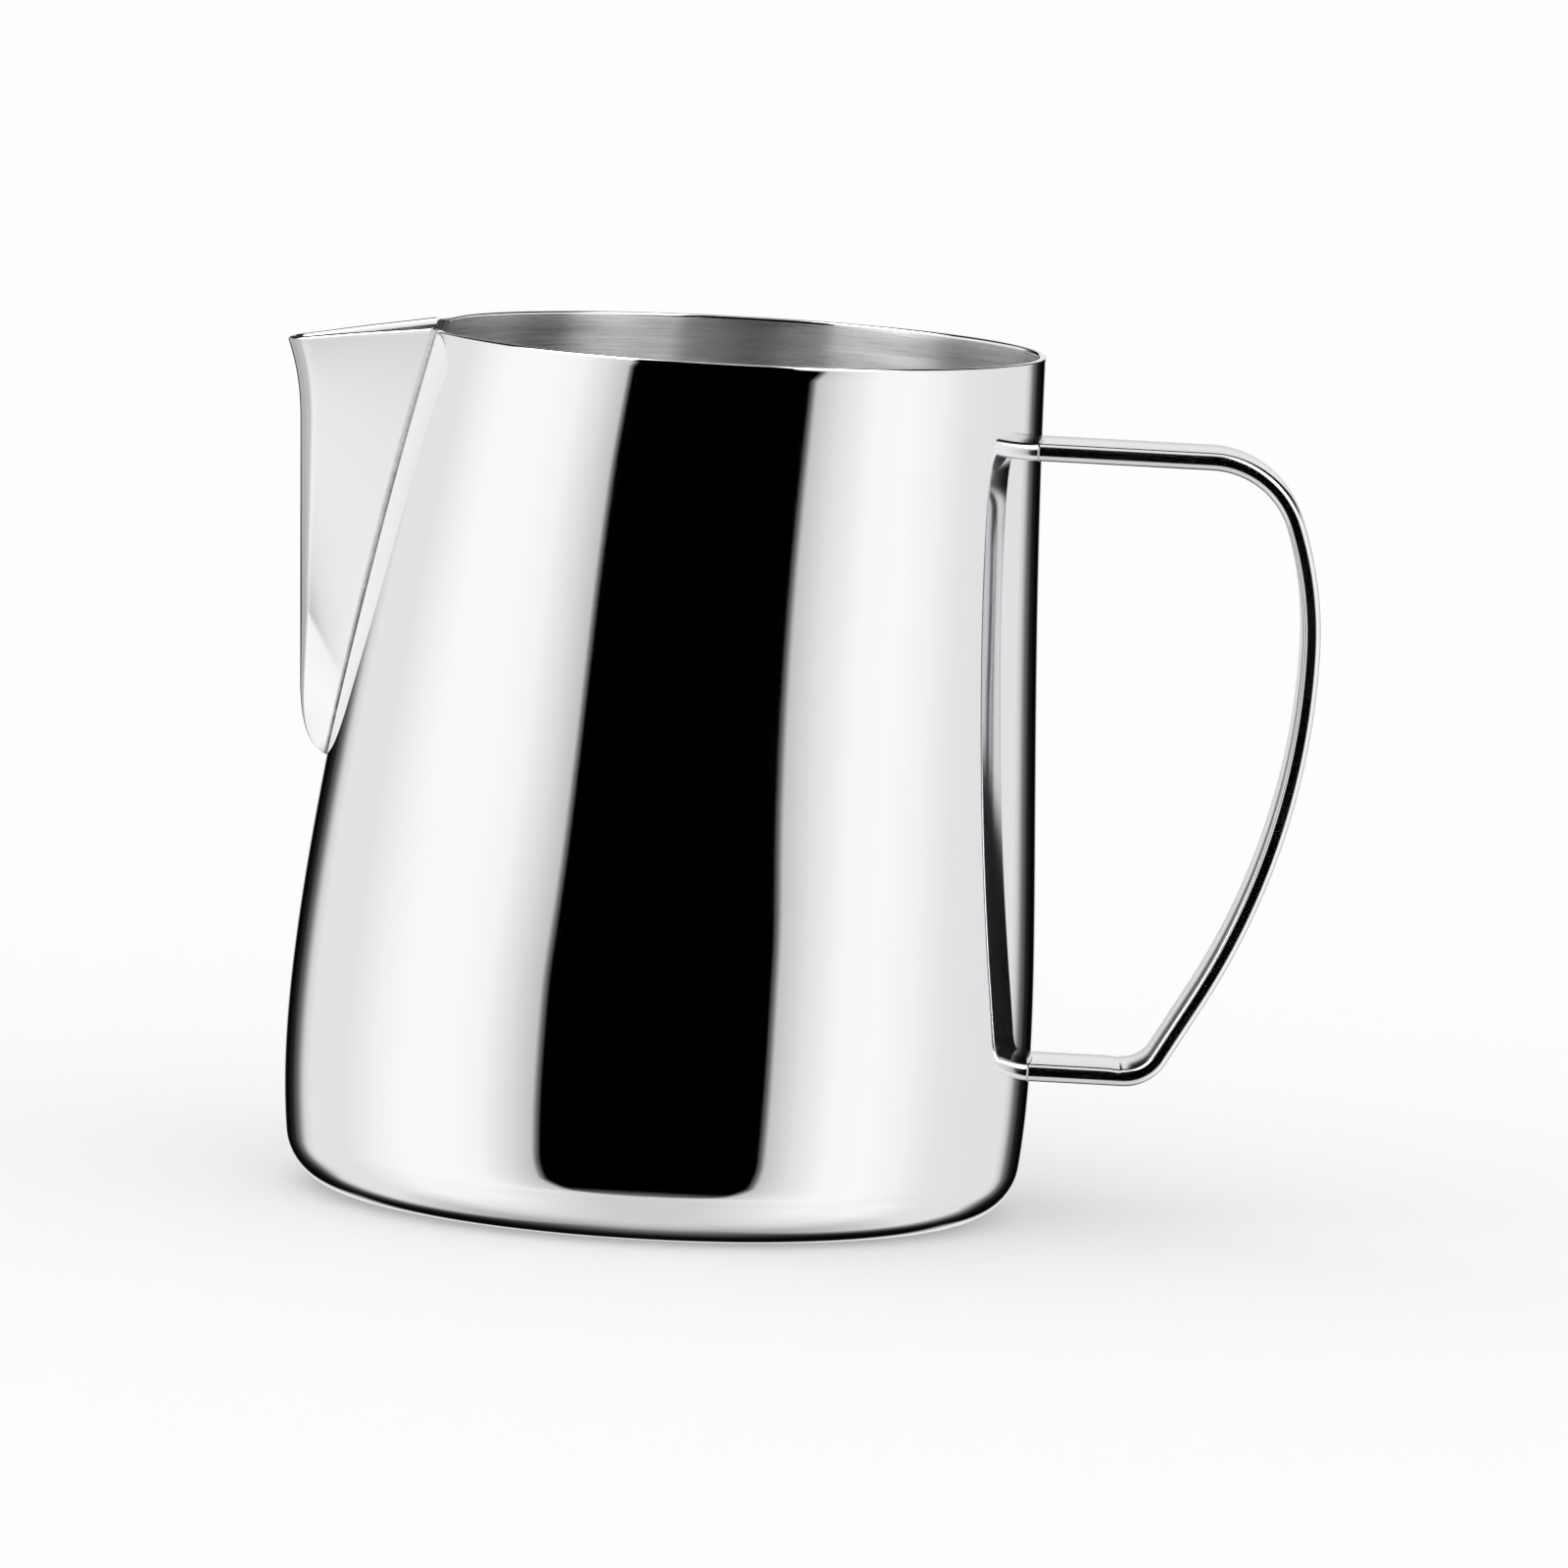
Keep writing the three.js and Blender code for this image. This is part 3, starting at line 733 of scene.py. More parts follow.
def makeCup(outsideFinish, insideFinish):
    profile, wallStart, wallEnd, insideStart, insideEnd = cupProfile()
    obj = lineObject("pitcherCup", [(radius, 0, z) for radius, z in profile])
    mesh = applyTree(obj, turnedTree(), {
        "Steps Around": cup["stepsAround"],
        "Axis X": axisX * mm,
        "Lean": cup["lean"] * mm,
        "Lean From": cup["cornerHeight"] * mm,
        "Lean Over": wallSpan * mm,
        "Inside From": (insideStart + 0.25) / (len(profile) - 1),
        "Outside Finish": outsideFinish,
        "Inside Finish": insideFinish,
    })
    rows = len(profile)
    columns = cup["stepsAround"] + 1
    co = readVectors(mesh.vertices, "co").reshape(columns, rows, 3) / mm
    # above the spout's foot the wall opens, and its columns close up round the back
    for i in range(wallStart, insideEnd):
        radius, z = profile[i]
        if z <= openingFoot:
            continue
        edge = math.asin(openingHalfWidth(z) / radius)
        turns = np.linspace(edge, math.tau - edge, columns)
        co[:, i, 0] = axisX + leanAt(z) - radius * np.cos(turns)
        co[:, i, 1] = radius * np.sin(turns)
        co[:, i, 2] = z
    high = co[:, :, 2] > cup["height"] - cup["creaseDepth"]
    for j, i in np.argwhere(high & (co[:, :, 0] < creaseTop[0] + cup["creaseReach"])):
        co[j, i] = settle(co[j, i])
    mesh.vertices.foreach_set("co", (co * mm).ravel())
    mesh.update()
    # the cut edges of the sheet, on both sides of the opening
    bm = bmesh.new()
    bm.from_mesh(mesh)
    bm.verts.ensure_lookup_table()
    firstOpen = next(i for i in range(wallStart, wallEnd) if profile[i][1] > openingFoot) - 1
    for first, flip in ((0, False), ((columns - 1) * rows, True)):
        for k in range(firstOpen, wallEnd - 1):
            opposite = insideStart + wallEnd - 1 - k
            addFace(bm, [first + i for i in (k, k + 1, opposite - 1, opposite)], flip)
        addFace(bm, [first + i for i in range(wallEnd - 1, insideStart + 1)], flip)
    bm.to_mesh(mesh)
    bm.free()
    finishShell(mesh)
    setWallNormals(mesh)
    return obj


noseFoot = wallPoint(0, creaseAt(0)[1], 0)
rimFront = wallPoint(0, cup["height"], 0)
lipTip = np.array((rimFront[0] - spout["reach"], 0, cup["height"] - spout["lipDrop"]))
lipStart = np.array((lipTip[0] + spout["lipFlare"], 0, lipTip[2] - spout["lipLength"]))
footX = wallPoint(0, spoutFoot, 0)[0]
noseStart = np.array((footX - spout["footReach"], 0, spoutFoot + spout["footRise"]))
noseUp = unit(lipStart - noseStart)
footOut, footUp = spout["footPull"]
lipIn, lipDown = spout["lipPull"]
footLine = [
    noseFoot,
    (footX - spout["footReach"] * footOut, 0, spoutFoot + spout["footRise"] * footUp),
    noseStart - noseUp * spout["footRise"] * spout["footRun"],
    noseStart,
]
lipLine = [
    lipStart,
    lipStart + noseUp * spout["lipLength"] * spout["lipRun"],
    (lipTip[0] + spout["lipFlare"] * lipIn, 0, lipTip[2] - spout["lipLength"] * lipDown),
    lipTip,
]


def noseStations():
    foot, nose, lip = spout["footRows"], spout["noseRows"], spout["lipRows"]
    stations = [bezier(footLine, (i / foot) ** spout["footCrowding"]) for i in range(foot + 1)]
    stations += [lerp(noseStart, lipStart, i / nose) for i in range(1, nose + 1)]
    return stations + [bezier(lipLine, i / lip) for i in range(1, lip + 1)]


# One rib: the flank from the crease to the nose, then round the nose and back.
def ribPoints(nose, edge):
    depthLine = np.array((edge[0] - nose[0], 0, edge[2] - nose[2]))
    depth = np.linalg.norm(depthLine)
    across = unit(depthLine)
    side = np.array((0, 1, 0))
    widthShare, sideShare = spout["noseShares"]
    radius = min(spout["noseRadius"], edge[1] * widthShare, math.dist(nose, edge) * sideShare)
    radius = max(radius, 1e-5)
    reach = math.hypot(depth - radius, edge[1])
    toEdge = math.atan2(edge[1], depth - radius)
    tangent = toEdge + math.acos(min(1, radius / max(reach, 1e-9)))
    centre = nose + across * radius
    touch = centre + (across * math.cos(tangent) + side * math.sin(tangent)) * radius
    flank = touch - edge
    trim = min(seam["flankReach"], np.linalg.norm(flank) * 0.4)
    start = edge + unit(flank) * trim
    half = [lerp(start, touch, i / spout["flankColumns"]) for i in range(spout["flankColumns"])]
    for i in range(spout["noseColumns"] + 1):
        angle = lerp(tangent, math.pi, i / spout["noseColumns"])
        half.append(centre + (across * math.cos(angle) + side * math.sin(angle)) * radius)
    mirrored = [p * (1, -1, 1) for p in half[:-1][::-1]]
    return half + mirrored, unit(flank), trim


def spoutRibs():
    stations = noseStations()
    steps = [math.dist(stations[i], stations[i - 1]) for i in range(1, len(stations))]
    lengths = np.cumsum([0] + steps)
    shares = lengths / lengths[-1]
    ribs, flanks, trims = [], [], []
    for station, share in zip(stations, shares):
        edge = wallPoint(*creaseAt(share), 0)
        if share == 0:
            station = edge + np.array((-1e-4, 0, 0))
            edge = edge + np.array((0, 1e-4, 0))
        rib, flank, trim = ribPoints(station, edge)
        ribs.append(rib)
        flanks.append(flank)
        trims.append(trim)
    return np.array(ribs), np.array(flanks), np.array(trims), shares


def gridNormals(skin):
    normal = np.cross(np.gradient(skin, axis=0), np.gradient(skin, axis=1))
    size = np.linalg.norm(normal, axis=2, keepdims=True)
    return normal / np.maximum(size, 1e-12)


def makeSpout(ribs, outsideFinish, insideFinish):
    outward = gridNormals(ribs)
    middle = ribs.shape[1] // 2
    if outward[len(ribs) // 2, middle][0] > 0:
        outward = -outward
    # the sheet thins toward the foot, where the two flanks come together
    thickness = np.minimum(cup["sheet"], np.abs(ribs[:, 0, 1]) * spout["sheetShare"])
    inner = ribs - outward * thickness[:, None, None]
    # a rounded lip between the two skins
    lipUp = unit(ribs[-1, middle] - ribs[-3, middle])
    lift = np.array((lipUp[0] * spout["lipLean"], 0, 1.0)) * thickness[-1] * spout["lipRound"]
    lipRows = []
    for k in range(1, spout["lipArc"]):
        angle = math.pi * k / spout["lipArc"]
        middleLine = (ribs[-1] + inner[-1]) / 2
        halfGap = (ribs[-1] - inner[-1]) / 2
        lipRows.append(middleLine + halfGap * math.cos(angle) + lift * math.sin(angle))
    grid = np.concatenate([ribs, np.array(lipRows), inner[::-1]], axis=0)
    rows, columns = grid.shape[:2]
    points = [settle(p) for p in grid.reshape(-1, 3)]
    # both skins, then the foot, where the last row meets the first
    faces = []
    for i in range(rows):
        for j in range(columns - 1):
            a, b = i * columns + j, (i + 1) % rows * columns + j
            faces.append((a, a + 1, b + 1, b))
    # close the two cut edges between the outer and the inner skin
    count = len(ribs)
    for column in (0, columns - 1):
        for i in range(count - 1):
            opposite = rows - 2 - i
            quad = [row * columns + column for row in (i, i + 1, opposite, opposite + 1)]
            faces.append(quad if column else quad[::-1])
        rim = [row * columns + column for row in range(count - 1, rows - count + 1)]
        faces.append(rim if column else rim[::-1])
    obj = newObject("pouringSpout", points, (), faces)
    mesh = obj.data
    mesh.materials.append(outsideFinish)
    mesh.materials.append(insideFinish)
    uv = mesh.uv_layers.new(name="UVMap")
    insideFrom = (count + len(lipRows) - 1) * columns
    for face in mesh.polygons:
        face.material_index = int(min(face.vertices) >= insideFrom)
        for loop in face.loop_indices:
            index = mesh.loops[loop].vertex_index
            uv.data[loop].uv = ((index % columns) / columns, (index // columns) / rows)
    # the fold runs along the middle columns
    nearMiddle = spout["noseColumns"] - np.abs(np.arange(columns) - columns // 2)
    fold = np.tile(np.clip(nearMiddle / spout["foldFade"], 0, 1), rows)
    mesh.attributes.new("fold", "FLOAT", "POINT").data.foreach_set("value", fold)
    finishShell(mesh, 2e-7)
    softenBy(mesh, 50)
    return obj


def makeSeam(ribs, flanks, trims, shares, finish):
    rings = []
    for k in range(seam["rows"] + 1):
        u = (k / seam["rows"]) ** seam["crowding"]
        outer = seamPoint(u, seam["wallReach"] + seam["tuck"])
        flank = unit(np.array([np.interp(u, shares, flanks[:, a]) for a in range(3)]))
        trim = float(np.interp(u, shares, trims)) + seam["flankTuck"]
        if k == 0:
            outer[0] = 0.0
            flank = unit(np.array((flank[0], 0, flank[2])))
        crease = np.array(creaseAt(u))
        edge = wallPoint(*crease, 0)
        wallIn = -wallNormal(*crease)
        ring = []
        for share in seam["wallShares"]:
            sink = seam["dip"] * smooth(share / seam["dipOver"])
            ring.append(wallPoint(*lerp(outer, crease, share), sink))
        start = ring[-1]
        corner = edge + flank * seam["tuck"] + wallIn * seam["dip"]
        top = edge + flank * trim
        for t in seam["bendShares"]:
            ring.append(start * (1 - t) ** 2 + corner * 2 * t * (1 - t) + top * t * t)
        # into the spout's channel, square to the flank
        before, after = creaseAt(max(0.0, u - 0.01)), creaseAt(min(1.0, u + 0.01))
        ahead = wallPoint(*after, 0) - wallPoint(*before, 0)
        flankIn = unit(np.cross(unit(ahead), flank))
        if flankIn[0] < 0:
            flankIn = -flankIn
        thin = min(cup["sheet"], crease[0] * spout["sheetShare"] + 0.05)
        ring.append(top + flankIn * thin)
        ring.append(edge + (wallIn + flankIn) * thin / (1 + float(wallIn @ flankIn)))
        ring.append(wallPoint(*outer, cup["sheet"]))
        rings.append(ring)
    right = np.array(rings)
    left = right[1:][::-1] * (1, -1, 1)
    both = np.concatenate([left, right], axis=0)
    rows, columns = both.shape[:2]
    points = [settle(p) for p in both.reshape(-1, 3)]
    faces = [tuple(range(columns))[::-1]]
    for i in range(rows - 1):
        for j in range(columns):
            a, b = i * columns + j, i * columns + (j + 1) % columns
            faces.append((a, b, b + columns, a + columns))
    faces.append(tuple((rows - 1) * columns + j for j in range(columns)))
    obj = newObject("spoutSeam", points, (), faces)
    mesh = obj.data
    mesh.materials.append(finish)
    # the crease attribute says where the painted crease shade lies
    line = mesh.attributes.new("crease", "FLOAT", "POINT")
    line.data.foreach_set("value", seam["creaseShadeShares"] * rows)
    finishShell(mesh, 2e-7)
    softenBy(mesh, 55)
    return obj


bar = {
    "width": 14,
    "thickness": 2.2,
    "edgeRadius": 0.8,
    "edgeSteps": 5,
    "belowRim": 11.5,
    "footHeight": 19,
    "standOff": 32.5,
    "topBendRadius": 11.4,
    "footBendRadius": 5,
    "upperGripRadius": 46,
    "footStraight": 8.4,
    "topBendTurn": 70,  # degrees
    "footBendTurn": 60,
    "insideWall": 0.2,  # how far each end sinks into the cup's wall
    "nipDepth": 0.12,  # the bender's nip on the inner face at the foot bend
    "nipWidth": 0.22,
    "nipPast": 0.4,
}


def barLine():
    top = math.radians(bar["topBendTurn"])
    foot = math.radians(bar["footBendTurn"])
    upper, lower = math.pi / 2 - top, math.pi / 2 - foot
    start = cup["rimRadius"] - cup["sheet"]
    reach = cup["baseRadius"] + bar["standOff"]
    topHeight = cup["height"] - bar["belowRim"]
    topBendX = bar["topBendRadius"] * math.sin(top)
    upperX = bar["upperGripRadius"] * (1 - math.cos(upper))
    drop = topHeight - bar["footHeight"]
    drop -= bar["topBendRadius"] * (1 - math.cos(top)) + bar["upperGripRadius"] * math.sin(upper)
    drop -= bar["footStraight"] * math.cos(lower) + bar["footBendRadius"] * (1 - math.cos(foot))
    x, z, heading = start, topHeight, 0.0
    points = [(x, z)]

    def straight(length, steps):
        nonlocal x, z
        for _ in range(steps):
            x += length / steps * math.cos(heading)
            z += length / steps * math.sin(heading)
            points.append((x, z))

    def bend(radius, turn, steps):
        nonlocal x, z, heading
        part = turn / steps
        chord = 2 * radius * math.sin(part / 2)
        for _ in range(steps):
            x += chord * math.cos(heading - part / 2)
            z += chord * math.sin(heading - part / 2)
            heading -= part
            points.append((x, z))

    straight(reach - topBendX - upperX - x, 12)
    bend(bar["topBendRadius"], top, 36)
    bend(bar["upperGripRadius"], upper, 24)
    bend(drop / math.sin(lower), lower, 44)
    straight(bar["footStraight"], 5)
    bend(bar["footBendRadius"], foot, 26)
    nipX = x - bar["nipPast"]
    straight(0.5, 5)  # close rows for the nip
    straight(x - start, 14)
    return points, nipX


# Sweeps a bar's rounded section along a bent centre line.
def sweptBarTree():
    tree = newGeometryTree("bar swept along its bends", [
        ("Centre Line", "NodeSocketGeometry", None),
        ("Bar Width", "NodeSocketFloat", 0.01),
        ("Bar Thickness", "NodeSocketFloat", 0.002),
        ("Edge Radius", "NodeSocketFloat", 0.0006),
        ("Edge Steps", "NodeSocketInt", 5),
        ("Finish", "NodeSocketMaterial", None),
    ])
    given = tree.nodes.new("NodeGroupInput").outputs
    path = addNode(tree, "GeometryNodeMeshToCurve", {0: given["Centre Line"]}).outputs[0]
    sockets = {"Width": given["Bar Width"], "Height": given["Bar Thickness"]}
    section = addNode(tree, "GeometryNodeCurvePrimitiveQuadrilateral", sockets).outputs[0]
    sockets = {"Curve": section, "Count": given["Edge Steps"], "Radius": given["Edge Radius"]}
    rounded = addNode(tree, "GeometryNodeFilletCurve", sockets, mode="POLY")
    rounded.inputs["Limit Radius"].default_value = True
    sockets = {"Curve": path, "Profile Curve": rounded.outputs[0], "Fill Caps": True}
    swept = addNode(tree, "GeometryNodeCurveToMesh", sockets).outputs[0]
    endTree(tree, finished(tree, realized(tree, swept), given["Finish"]))
    return tree


def makeHandle(finish):
    points, nipX = barLine()
    obj = lineObject("carryHandle", [(axisX + x, 0, z) for x, z in points])
    mesh = applyTree(obj, sweptBarTree(), {
        "Bar Width": bar["width"] * mm,
        "Bar Thickness": bar["thickness"] * mm,
        "Edge Radius": bar["edgeRadius"] * mm,
        "Edge Steps": bar["edgeSteps"],
        "Finish": finish,
    })
    # both ends are cut to the wall they stand on, and the foot bend keeps its nip
    for vertex in mesh.vertices:
        x, y, z = [c / mm for c in vertex.co]
        vertex.co.x = max(x, wallX(y, z, 0, 1) - bar["insideWall"]) * mm
        if bar["footHeight"] + 0.5 < z < bar["footHeight"] + 2:
            past = (x - axisX - nipX) / bar["nipWidth"]
            vertex.co.z -= bar["nipDepth"] * math.exp(-(past**2)) * mm
    finishShell(mesh)
    softenBy(mesh, 60)
    return obj


ringWeld = {
    "beadRadius": 0.28,
    "standProud": -0.14,  # how far the bead's middle lies outside the bar's skin
    "rippleLength": 0.7,
    "rippleDepth": 0.035,  # share of the radius
    "wander": 0.03,
    "seed": 11,
    "steps": 220,
}


# A bead run round a closed line, with its ripples.
def beadTree():
    tree = newGeometryTree("rippled weld bead", [
        ("Path", "NodeSocketGeometry", None),
        ("Bead Radius", "NodeSocketFloat", 0.0006),
        ("Ripples", "NodeSocketFloat", 26.0),
        ("Ripple Depth", "NodeSocketFloat", 0.1),
        ("Wander", "NodeSocketFloat", 0.1),
        ("Seed", "NodeSocketInt", 0),
        ("Finish", "NodeSocketMaterial", None),
    ])
    given = tree.nodes.new("NodeGroupInput").outputs
    path = addNode(tree, "GeometryNodeMeshToCurve", {0: given["Path"]}).outputs[0]
    along = tree.nodes.new("GeometryNodeSplineParameter").outputs["Factor"]
    wave = sums(tree, "SINE", times(tree, times(tree, along, given["Ripples"]), math.tau))
    place = tree.nodes.new("GeometryNodeInputPosition").outputs[0]
    sockets = {"Vector": place, "W": given["Seed"], "Scale": 700.0, "Detail": 1.0}
    rough = addNode(tree, "ShaderNodeTexNoise", sockets, noise_dimensions="4D").outputs[0]
    uneven = times(tree, sums(tree, "SUBTRACT", rough, 0.5), given["Wander"])
    rippled = plus(tree, times(tree, wave, given["Ripple Depth"]), 1.0)
    size = times(tree, plus(tree, rippled, uneven), given["Bead Radius"])
    sized = addNode(tree, "GeometryNodeSetCurveRadius", {"Curve": path, "Radius": size})
    section = addNode(tree, "GeometryNodeCurvePrimitiveCircle", {"Resolution": 16, "Radius": 1.0})
    sockets = {"Curve": sized.outputs[0], "Profile Curve": section.outputs[0], "Scale": size}
    swept = addNode(tree, "GeometryNodeCurveToMesh", sockets).outputs[0]
    endTree(tree, finished(tree, realized(tree, swept), given["Finish"]))
    return tree


# Points round the bar's section, grown outward, and how long the way round is.
def sectionLoop(grow, steps):
    corner = bar["edgeRadius"] + grow
    arc = corner * math.pi / 2
    halfWidth = bar["width"] / 2 - bar["edgeRadius"]
    halfThick = bar["thickness"] / 2 - bar["edgeRadius"]
    # each side's distance from the middle, and half its straight run
    sides = [(halfWidth, halfThick), (halfThick, halfWidth)] * 2
    total = sum(2 * half + arc for _, half in sides)
    points = []
    for i in range(steps):
        run = total * i / steps
        side = 0
        while run > 2 * sides[side][1] + arc:
            run -= 2 * sides[side][1] + arc
            side += 1
        out, half = sides[side]
        along = min(run, 2 * half) - half
        turn = math.pi / 2 * side
        angle = turn + max(0, run - 2 * half) / corner
        y = math.cos(turn) * out - math.sin(turn) * along + corner * math.cos(angle)
        z = math.sin(turn) * out + math.cos(turn) * along + corner * math.sin(angle)
        points.append((y, z))
    return points, total


def makeRingWeld(name, height, finish):
    proud = ringWeld["standProud"]
    loop, total = sectionLoop(proud, ringWeld["steps"])
    line = [(wallX(y, height + z, 0, 1) + proud, y, height + z) for y, z in loop]
    obj = lineObject(name, line, closed=True)
    applyTree(obj, beadTree(), {
        "Bead Radius": ringWeld["beadRadius"] * mm,
        "Ripples": float(round(total / ringWeld["rippleLength"])),
        "Ripple Depth": ringWeld["rippleDepth"],
        "Wander": ringWeld["wander"],
        "Seed": ringWeld["seed"],
        "Finish": finish,
    })
    finishShell(obj.data)
    return obj


mirror = mirrorSteel("polished steel")
spoutFinish = mirrorSteel("polished steel with a fold", hasFold=True)
brushed = brushedSteel("brushed steel inside", axisX * mm, cup["lean"] * mm, cup["height"] * mm)
barFinish = barSteel("polished bar")
seamFinish = flushWeld("ground weld with painted crease shade")
beadFinish = weldSteel("weld bead")

print("making the cup")
cupPiece = makeCup(mirror, brushed)
print("making the spout")
ribs, flanks, trims, shares = spoutRibs()
spoutPiece = makeSpout(ribs, spoutFinish, mirror)
print("making the seam")
seamPiece = makeSeam(ribs, flanks, trims, shares, seamFinish)
print("making the handle")
handlePiece = makeHandle(barFinish)
upperWeld = makeRingWeld("upperHandleWeld", cup["height"] - bar["belowRim"], beadFinish)
lowerWeld = makeRingWeld("lowerHandleWeld", bar["footHeight"], beadFinish)

standsFor = [
    (cupPiece, "cup", "polished_steel"),
    (spoutPiece, "spout", "polished_steel"),
    (seamPiece, "spout_seam_weld", "weld_steel"),
    (handlePiece, "handle", "bar_steel"),
    (upperWeld, "handle_weld_upper", "weld_steel"),
    (lowerWeld, "handle_weld_lower", "weld_steel"),
]
for piece, node, slotName in standsFor:
    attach(piece, "root")
    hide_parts(node)
print("pieces placed")


studio = {
    "floorSize": 40,  # metres
    "light": 1.06,
    "floorTone": 0.93,
    "roomLight": 1.14,
    "footFrom": 15,  # degrees below level, where the dark side ends in a rounded foot
    "footRounding": 3.2,
    "narrowing": (-0.03, 0.12),  # share of the dark side that is lost, low down and high up
    "narrowsOver": (0, 8),  # degrees above level
    "narrowsWithin": (42, 80),  # degrees either side of the front
    "slant": 4.6,  # how far the room leans over, by the square of the height
    "slantMost": 8,  # degrees
    "overheadFrom": (17, 23),
    "overheadLight": 3.0,
    "ceilingFrom": (58, 70),
    "ceilingLevel": 235,
    "lowFrom": (-22, -31),
    "underFrom": (-45, -78),
}

# How bright the surroundings are, by direction: degrees from the camera's side, then grey level.
roundTheRoom = [
    (-180, 225), (-171, 225), (-168, 8), (-160, 8), (-153, 37), (-147, 100), (-144, 155), (-140, 210),
    (-134, 226), (-112, 226), (-98, 239), (-84, 249), (-64, 249), (-54, 243), (-44, 219),
    (-36.5, 194), (-34.6, 0),
    (33.2, 0), (35.2, 196), (44, 225), (56, 247), (70, 249), (84, 241), (98, 228), (110, 225),
    (138, 223), (142, 200), (147, 105), (153, 32), (160, 6), (168, 8), (171, 225),
]

# The same for what hangs above, which only the cup's inside and the rounded edges see.
overTheRoom = [
    (-180, 8), (-88, 8), (-78, 255), (-36.5, 255), (-34.6, 4), (33.2, 4), (35.2, 255), (72, 255),
    (84, 8), (180, 8),
]
# And for what lies below, where the front is no longer dark.
lowInTheRoom = [
    (-180, 8), (-160, 8), (-153, 37), (-147, 100), (-140, 210), (-134, 226), (-112, 226), (-84, 247),
    (-56, 243), (-34, 222), (-15, 206), (15, 206), (34, 222), (56, 243), (84, 245), (110, 225),
    (138, 223), (147, 105), (153, 32), (160, 6), (180, 6),
]
# Under the object, by degrees from straight down toward the back.
underTheObject = [
    (-180, 206), (-8, 206), (0, 194), (6, 178), (16, 128), (26, 90), (36, 51), (46, 28),
    (60, 12), (180, 12),
]


# From a screen's grey level to linear light.
def linearGrey(level):
    share = level / 255
    return share / 12.92 if share < 0.04045 else ((share + 0.055) / 1.055) ** 2.4


# Levels over a full turn, from straight back round to straight back.
def levelRamp(tree, turn, levels):
    share = sums(tree, "MULTIPLY_ADD", turn, 1 / math.tau, 0.5, clamp=True)
    ramp = addNode(tree, "ShaderNodeValToRGB", {0: share})
    stops = ramp.color_ramp.elements
    while len(stops) > 1:
        stops.remove(stops[-1])
    stops[0].position = 0
    for i, (angle, level) in enumerate(levels):
        stop = stops[0] if i == 0 else stops.new((angle + 180) / 360)
        stop.color = (*[linearGrey(level)] * 3, 1)
    return ramp.outputs[0]


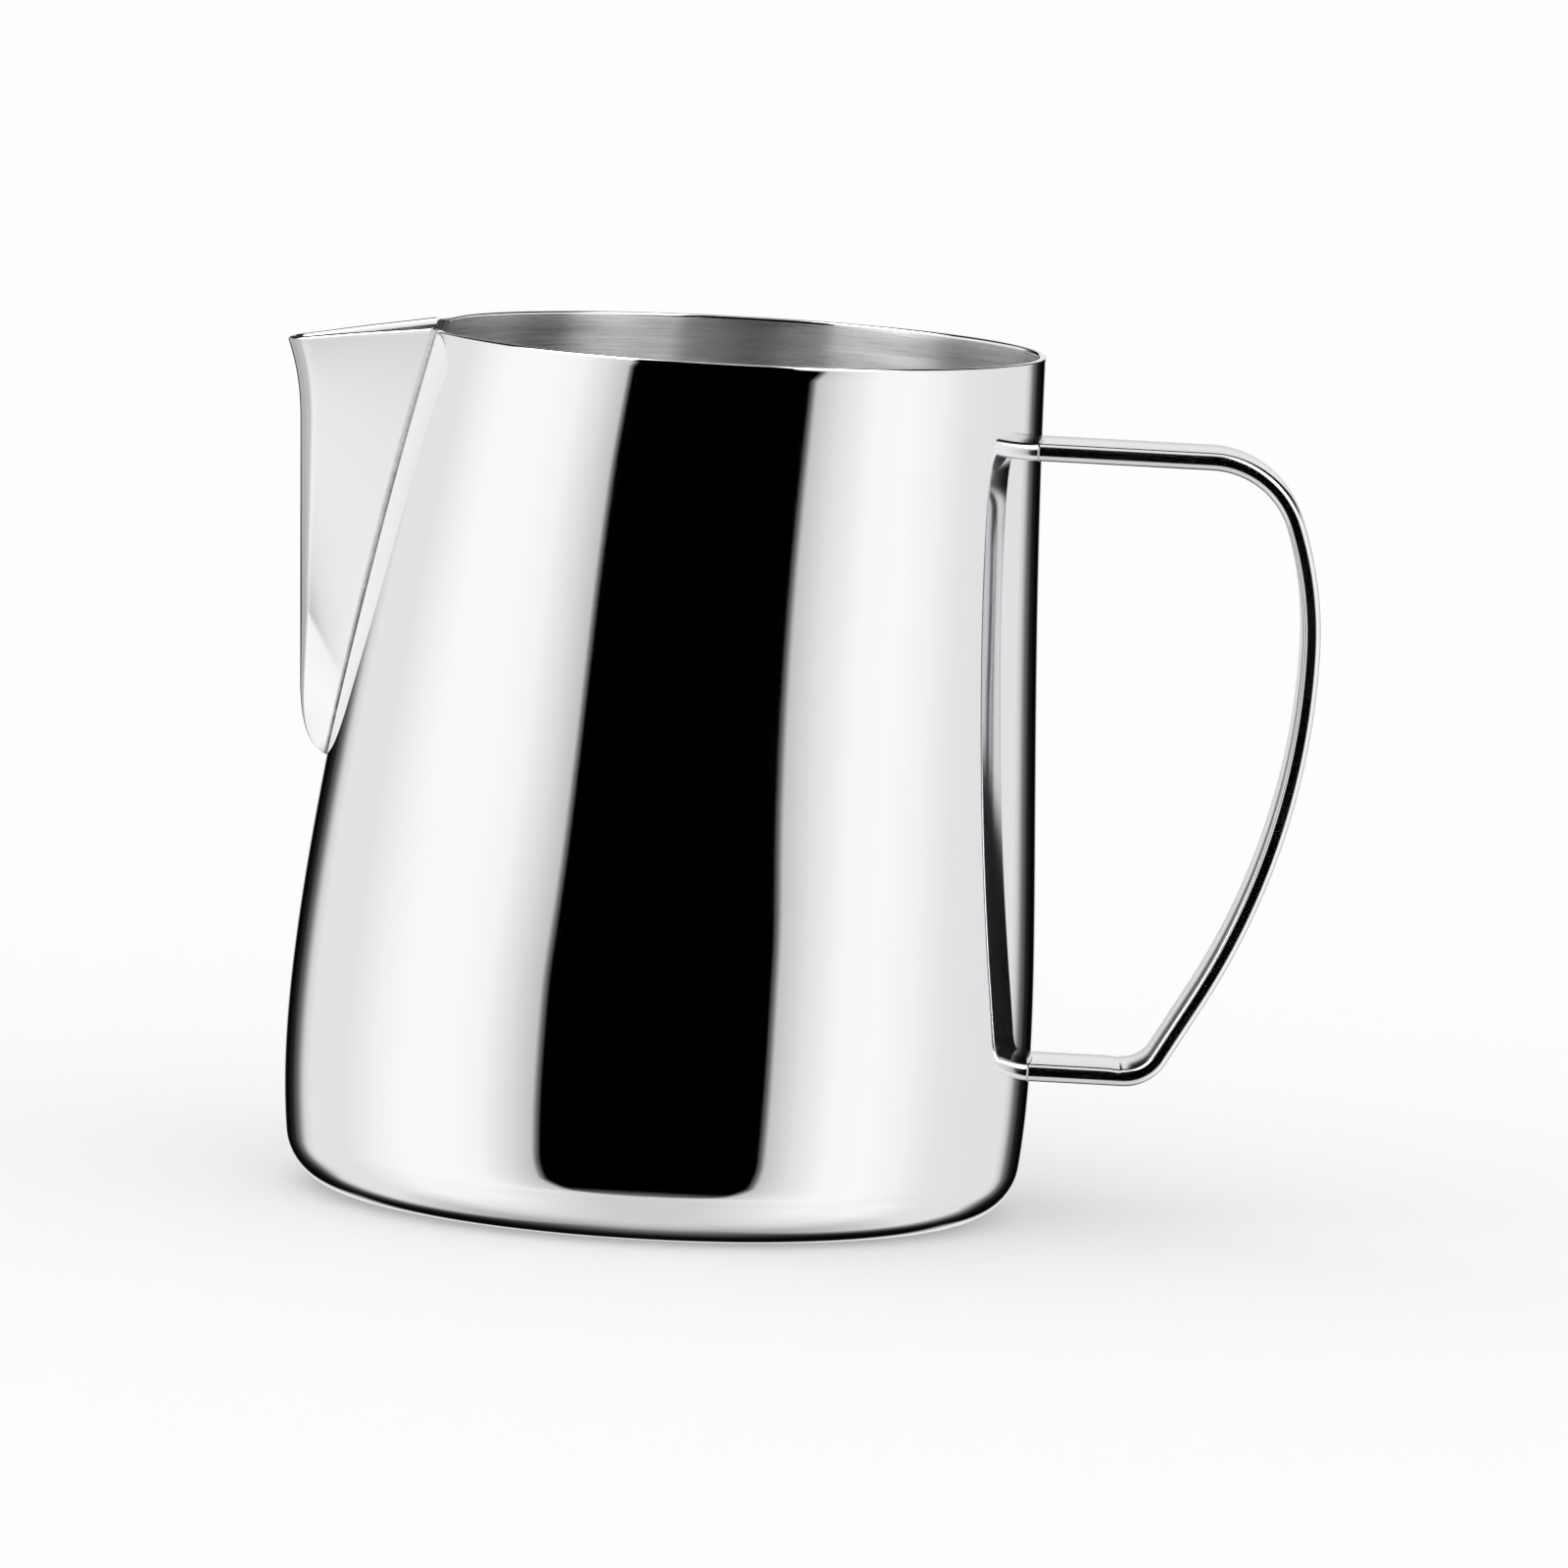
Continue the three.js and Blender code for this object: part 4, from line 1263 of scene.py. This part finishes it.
def makeRoom():
    world = bpy.data.worlds.new("studio room")
    bpy.context.scene.world = world
    world.use_nodes = True
    # what shines shows the room as it is, not the plain light
    world.cycles.sampling_method = "NONE"
    tree = world.node_tree
    tree.nodes.clear()

    def between(angle, degrees, toSpan=(0, 1), blend="LINEAR"):
        return spread(tree, angle, [math.radians(d) for d in degrees], toSpan, blend)

    def minus(value):
        return times(tree, value, -1.0)

    way = addNode(tree, "ShaderNodeTexCoord").outputs["Generated"]
    right, back, rise = parted(tree, way)
    around = sums(tree, "ARCTAN2", right, minus(back))
    up = sums(tree, "ARCSINE", rise)
    # the dark side of the room ends in a rounded foot
    below = sums(tree, "SUBTRACT", minus(up), math.radians(studio["footFrom"]))
    below = times(tree, sums(tree, "MAXIMUM", below, 0.0), studio["footRounding"])
    wide = plus(tree, times(tree, around, around), times(tree, below, below))
    wide = times(tree, sums(tree, "SQRT", wide), sums(tree, "SIGN", around))
    # its dark side narrows as it rises
    narrow = between(up, studio["narrowsOver"], studio["narrowing"], "SMOOTHSTEP")
    near = between(sums(tree, "ABSOLUTE", wide), studio["narrowsWithin"], (1, 0))
    wide = sums(tree, "MULTIPLY_ADD", times(tree, narrow, near), wide, wide)
    # and it stands a little aslant
    raised = sums(tree, "MAXIMUM", up, 0.0)
    slant = times(tree, times(tree, raised, raised), studio["slant"])
    slant = sums(tree, "MINIMUM", slant, math.radians(studio["slantMost"]))
    wide = plus(tree, wide, slant)
    room = levelRamp(tree, wide, roundTheRoom)
    bright = (*[studio["overheadLight"]] * 3, 1)
    panels = mixed(tree, 1.0, levelRamp(tree, wide, overTheRoom), bright, blend_type="MULTIPLY")
    room = mixed(tree, between(up, studio["overheadFrom"]), room, panels)
    # straight up it is evenly light
    ceiling = (*[linearGrey(studio["ceilingLevel"])] * 3, 1)
    room = mixed(tree, between(up, studio["ceilingFrom"]), room, ceiling)
    # low down the dark front ends, and under the object it darkens toward the back
    low = levelRamp(tree, around, lowInTheRoom)
    room = mixed(tree, between(up, studio["lowFrom"]), room, low)
    toBack = sums(tree, "ARCTAN2", back, minus(rise))
    under = levelRamp(tree, toBack, underTheObject)
    room = mixed(tree, between(up, studio["underFrom"]), room, under)
    sockets = {"Color": room, "Strength": studio["roomLight"]}
    seen = addNode(tree, "ShaderNodeBackground", sockets).outputs[0]
    sockets = {"Color": (1, 1, 1, 1), "Strength": studio["light"]}
    plain = addNode(tree, "ShaderNodeBackground", sockets).outputs[0]
    glossy = addNode(tree, "ShaderNodeLightPath").outputs["Is Glossy Ray"]
    light = addNode(tree, "ShaderNodeMixShader", {0: glossy, 1: plain, 2: seen}).outputs[0]
    addNode(tree, "ShaderNodeOutputWorld", {"Surface": light})


def makeFloor():
    material = bpy.data.materials.new("pale floor")
    material.use_nodes = True
    shader = material.node_tree.nodes["Principled BSDF"]
    shader.inputs["Base Color"].default_value = (*[studio["floorTone"]] * 3, 1)
    shader.inputs["Roughness"].default_value = 1
    shader.inputs["Specular IOR Level"].default_value = 0
    half = studio["floorSize"] / 2 / mm
    corners = [(-half, -half, 0), (half, -half, 0), (half, half, 0), (-half, half, 0)]
    floor = newObject("floor", corners, (), [(0, 1, 2, 3)])
    floor.data.materials.append(material)
    floor.visible_glossy = False


makeRoom()
makeFloor()
bpy.context.scene.view_settings.view_transform = "Standard"
print("studio set")
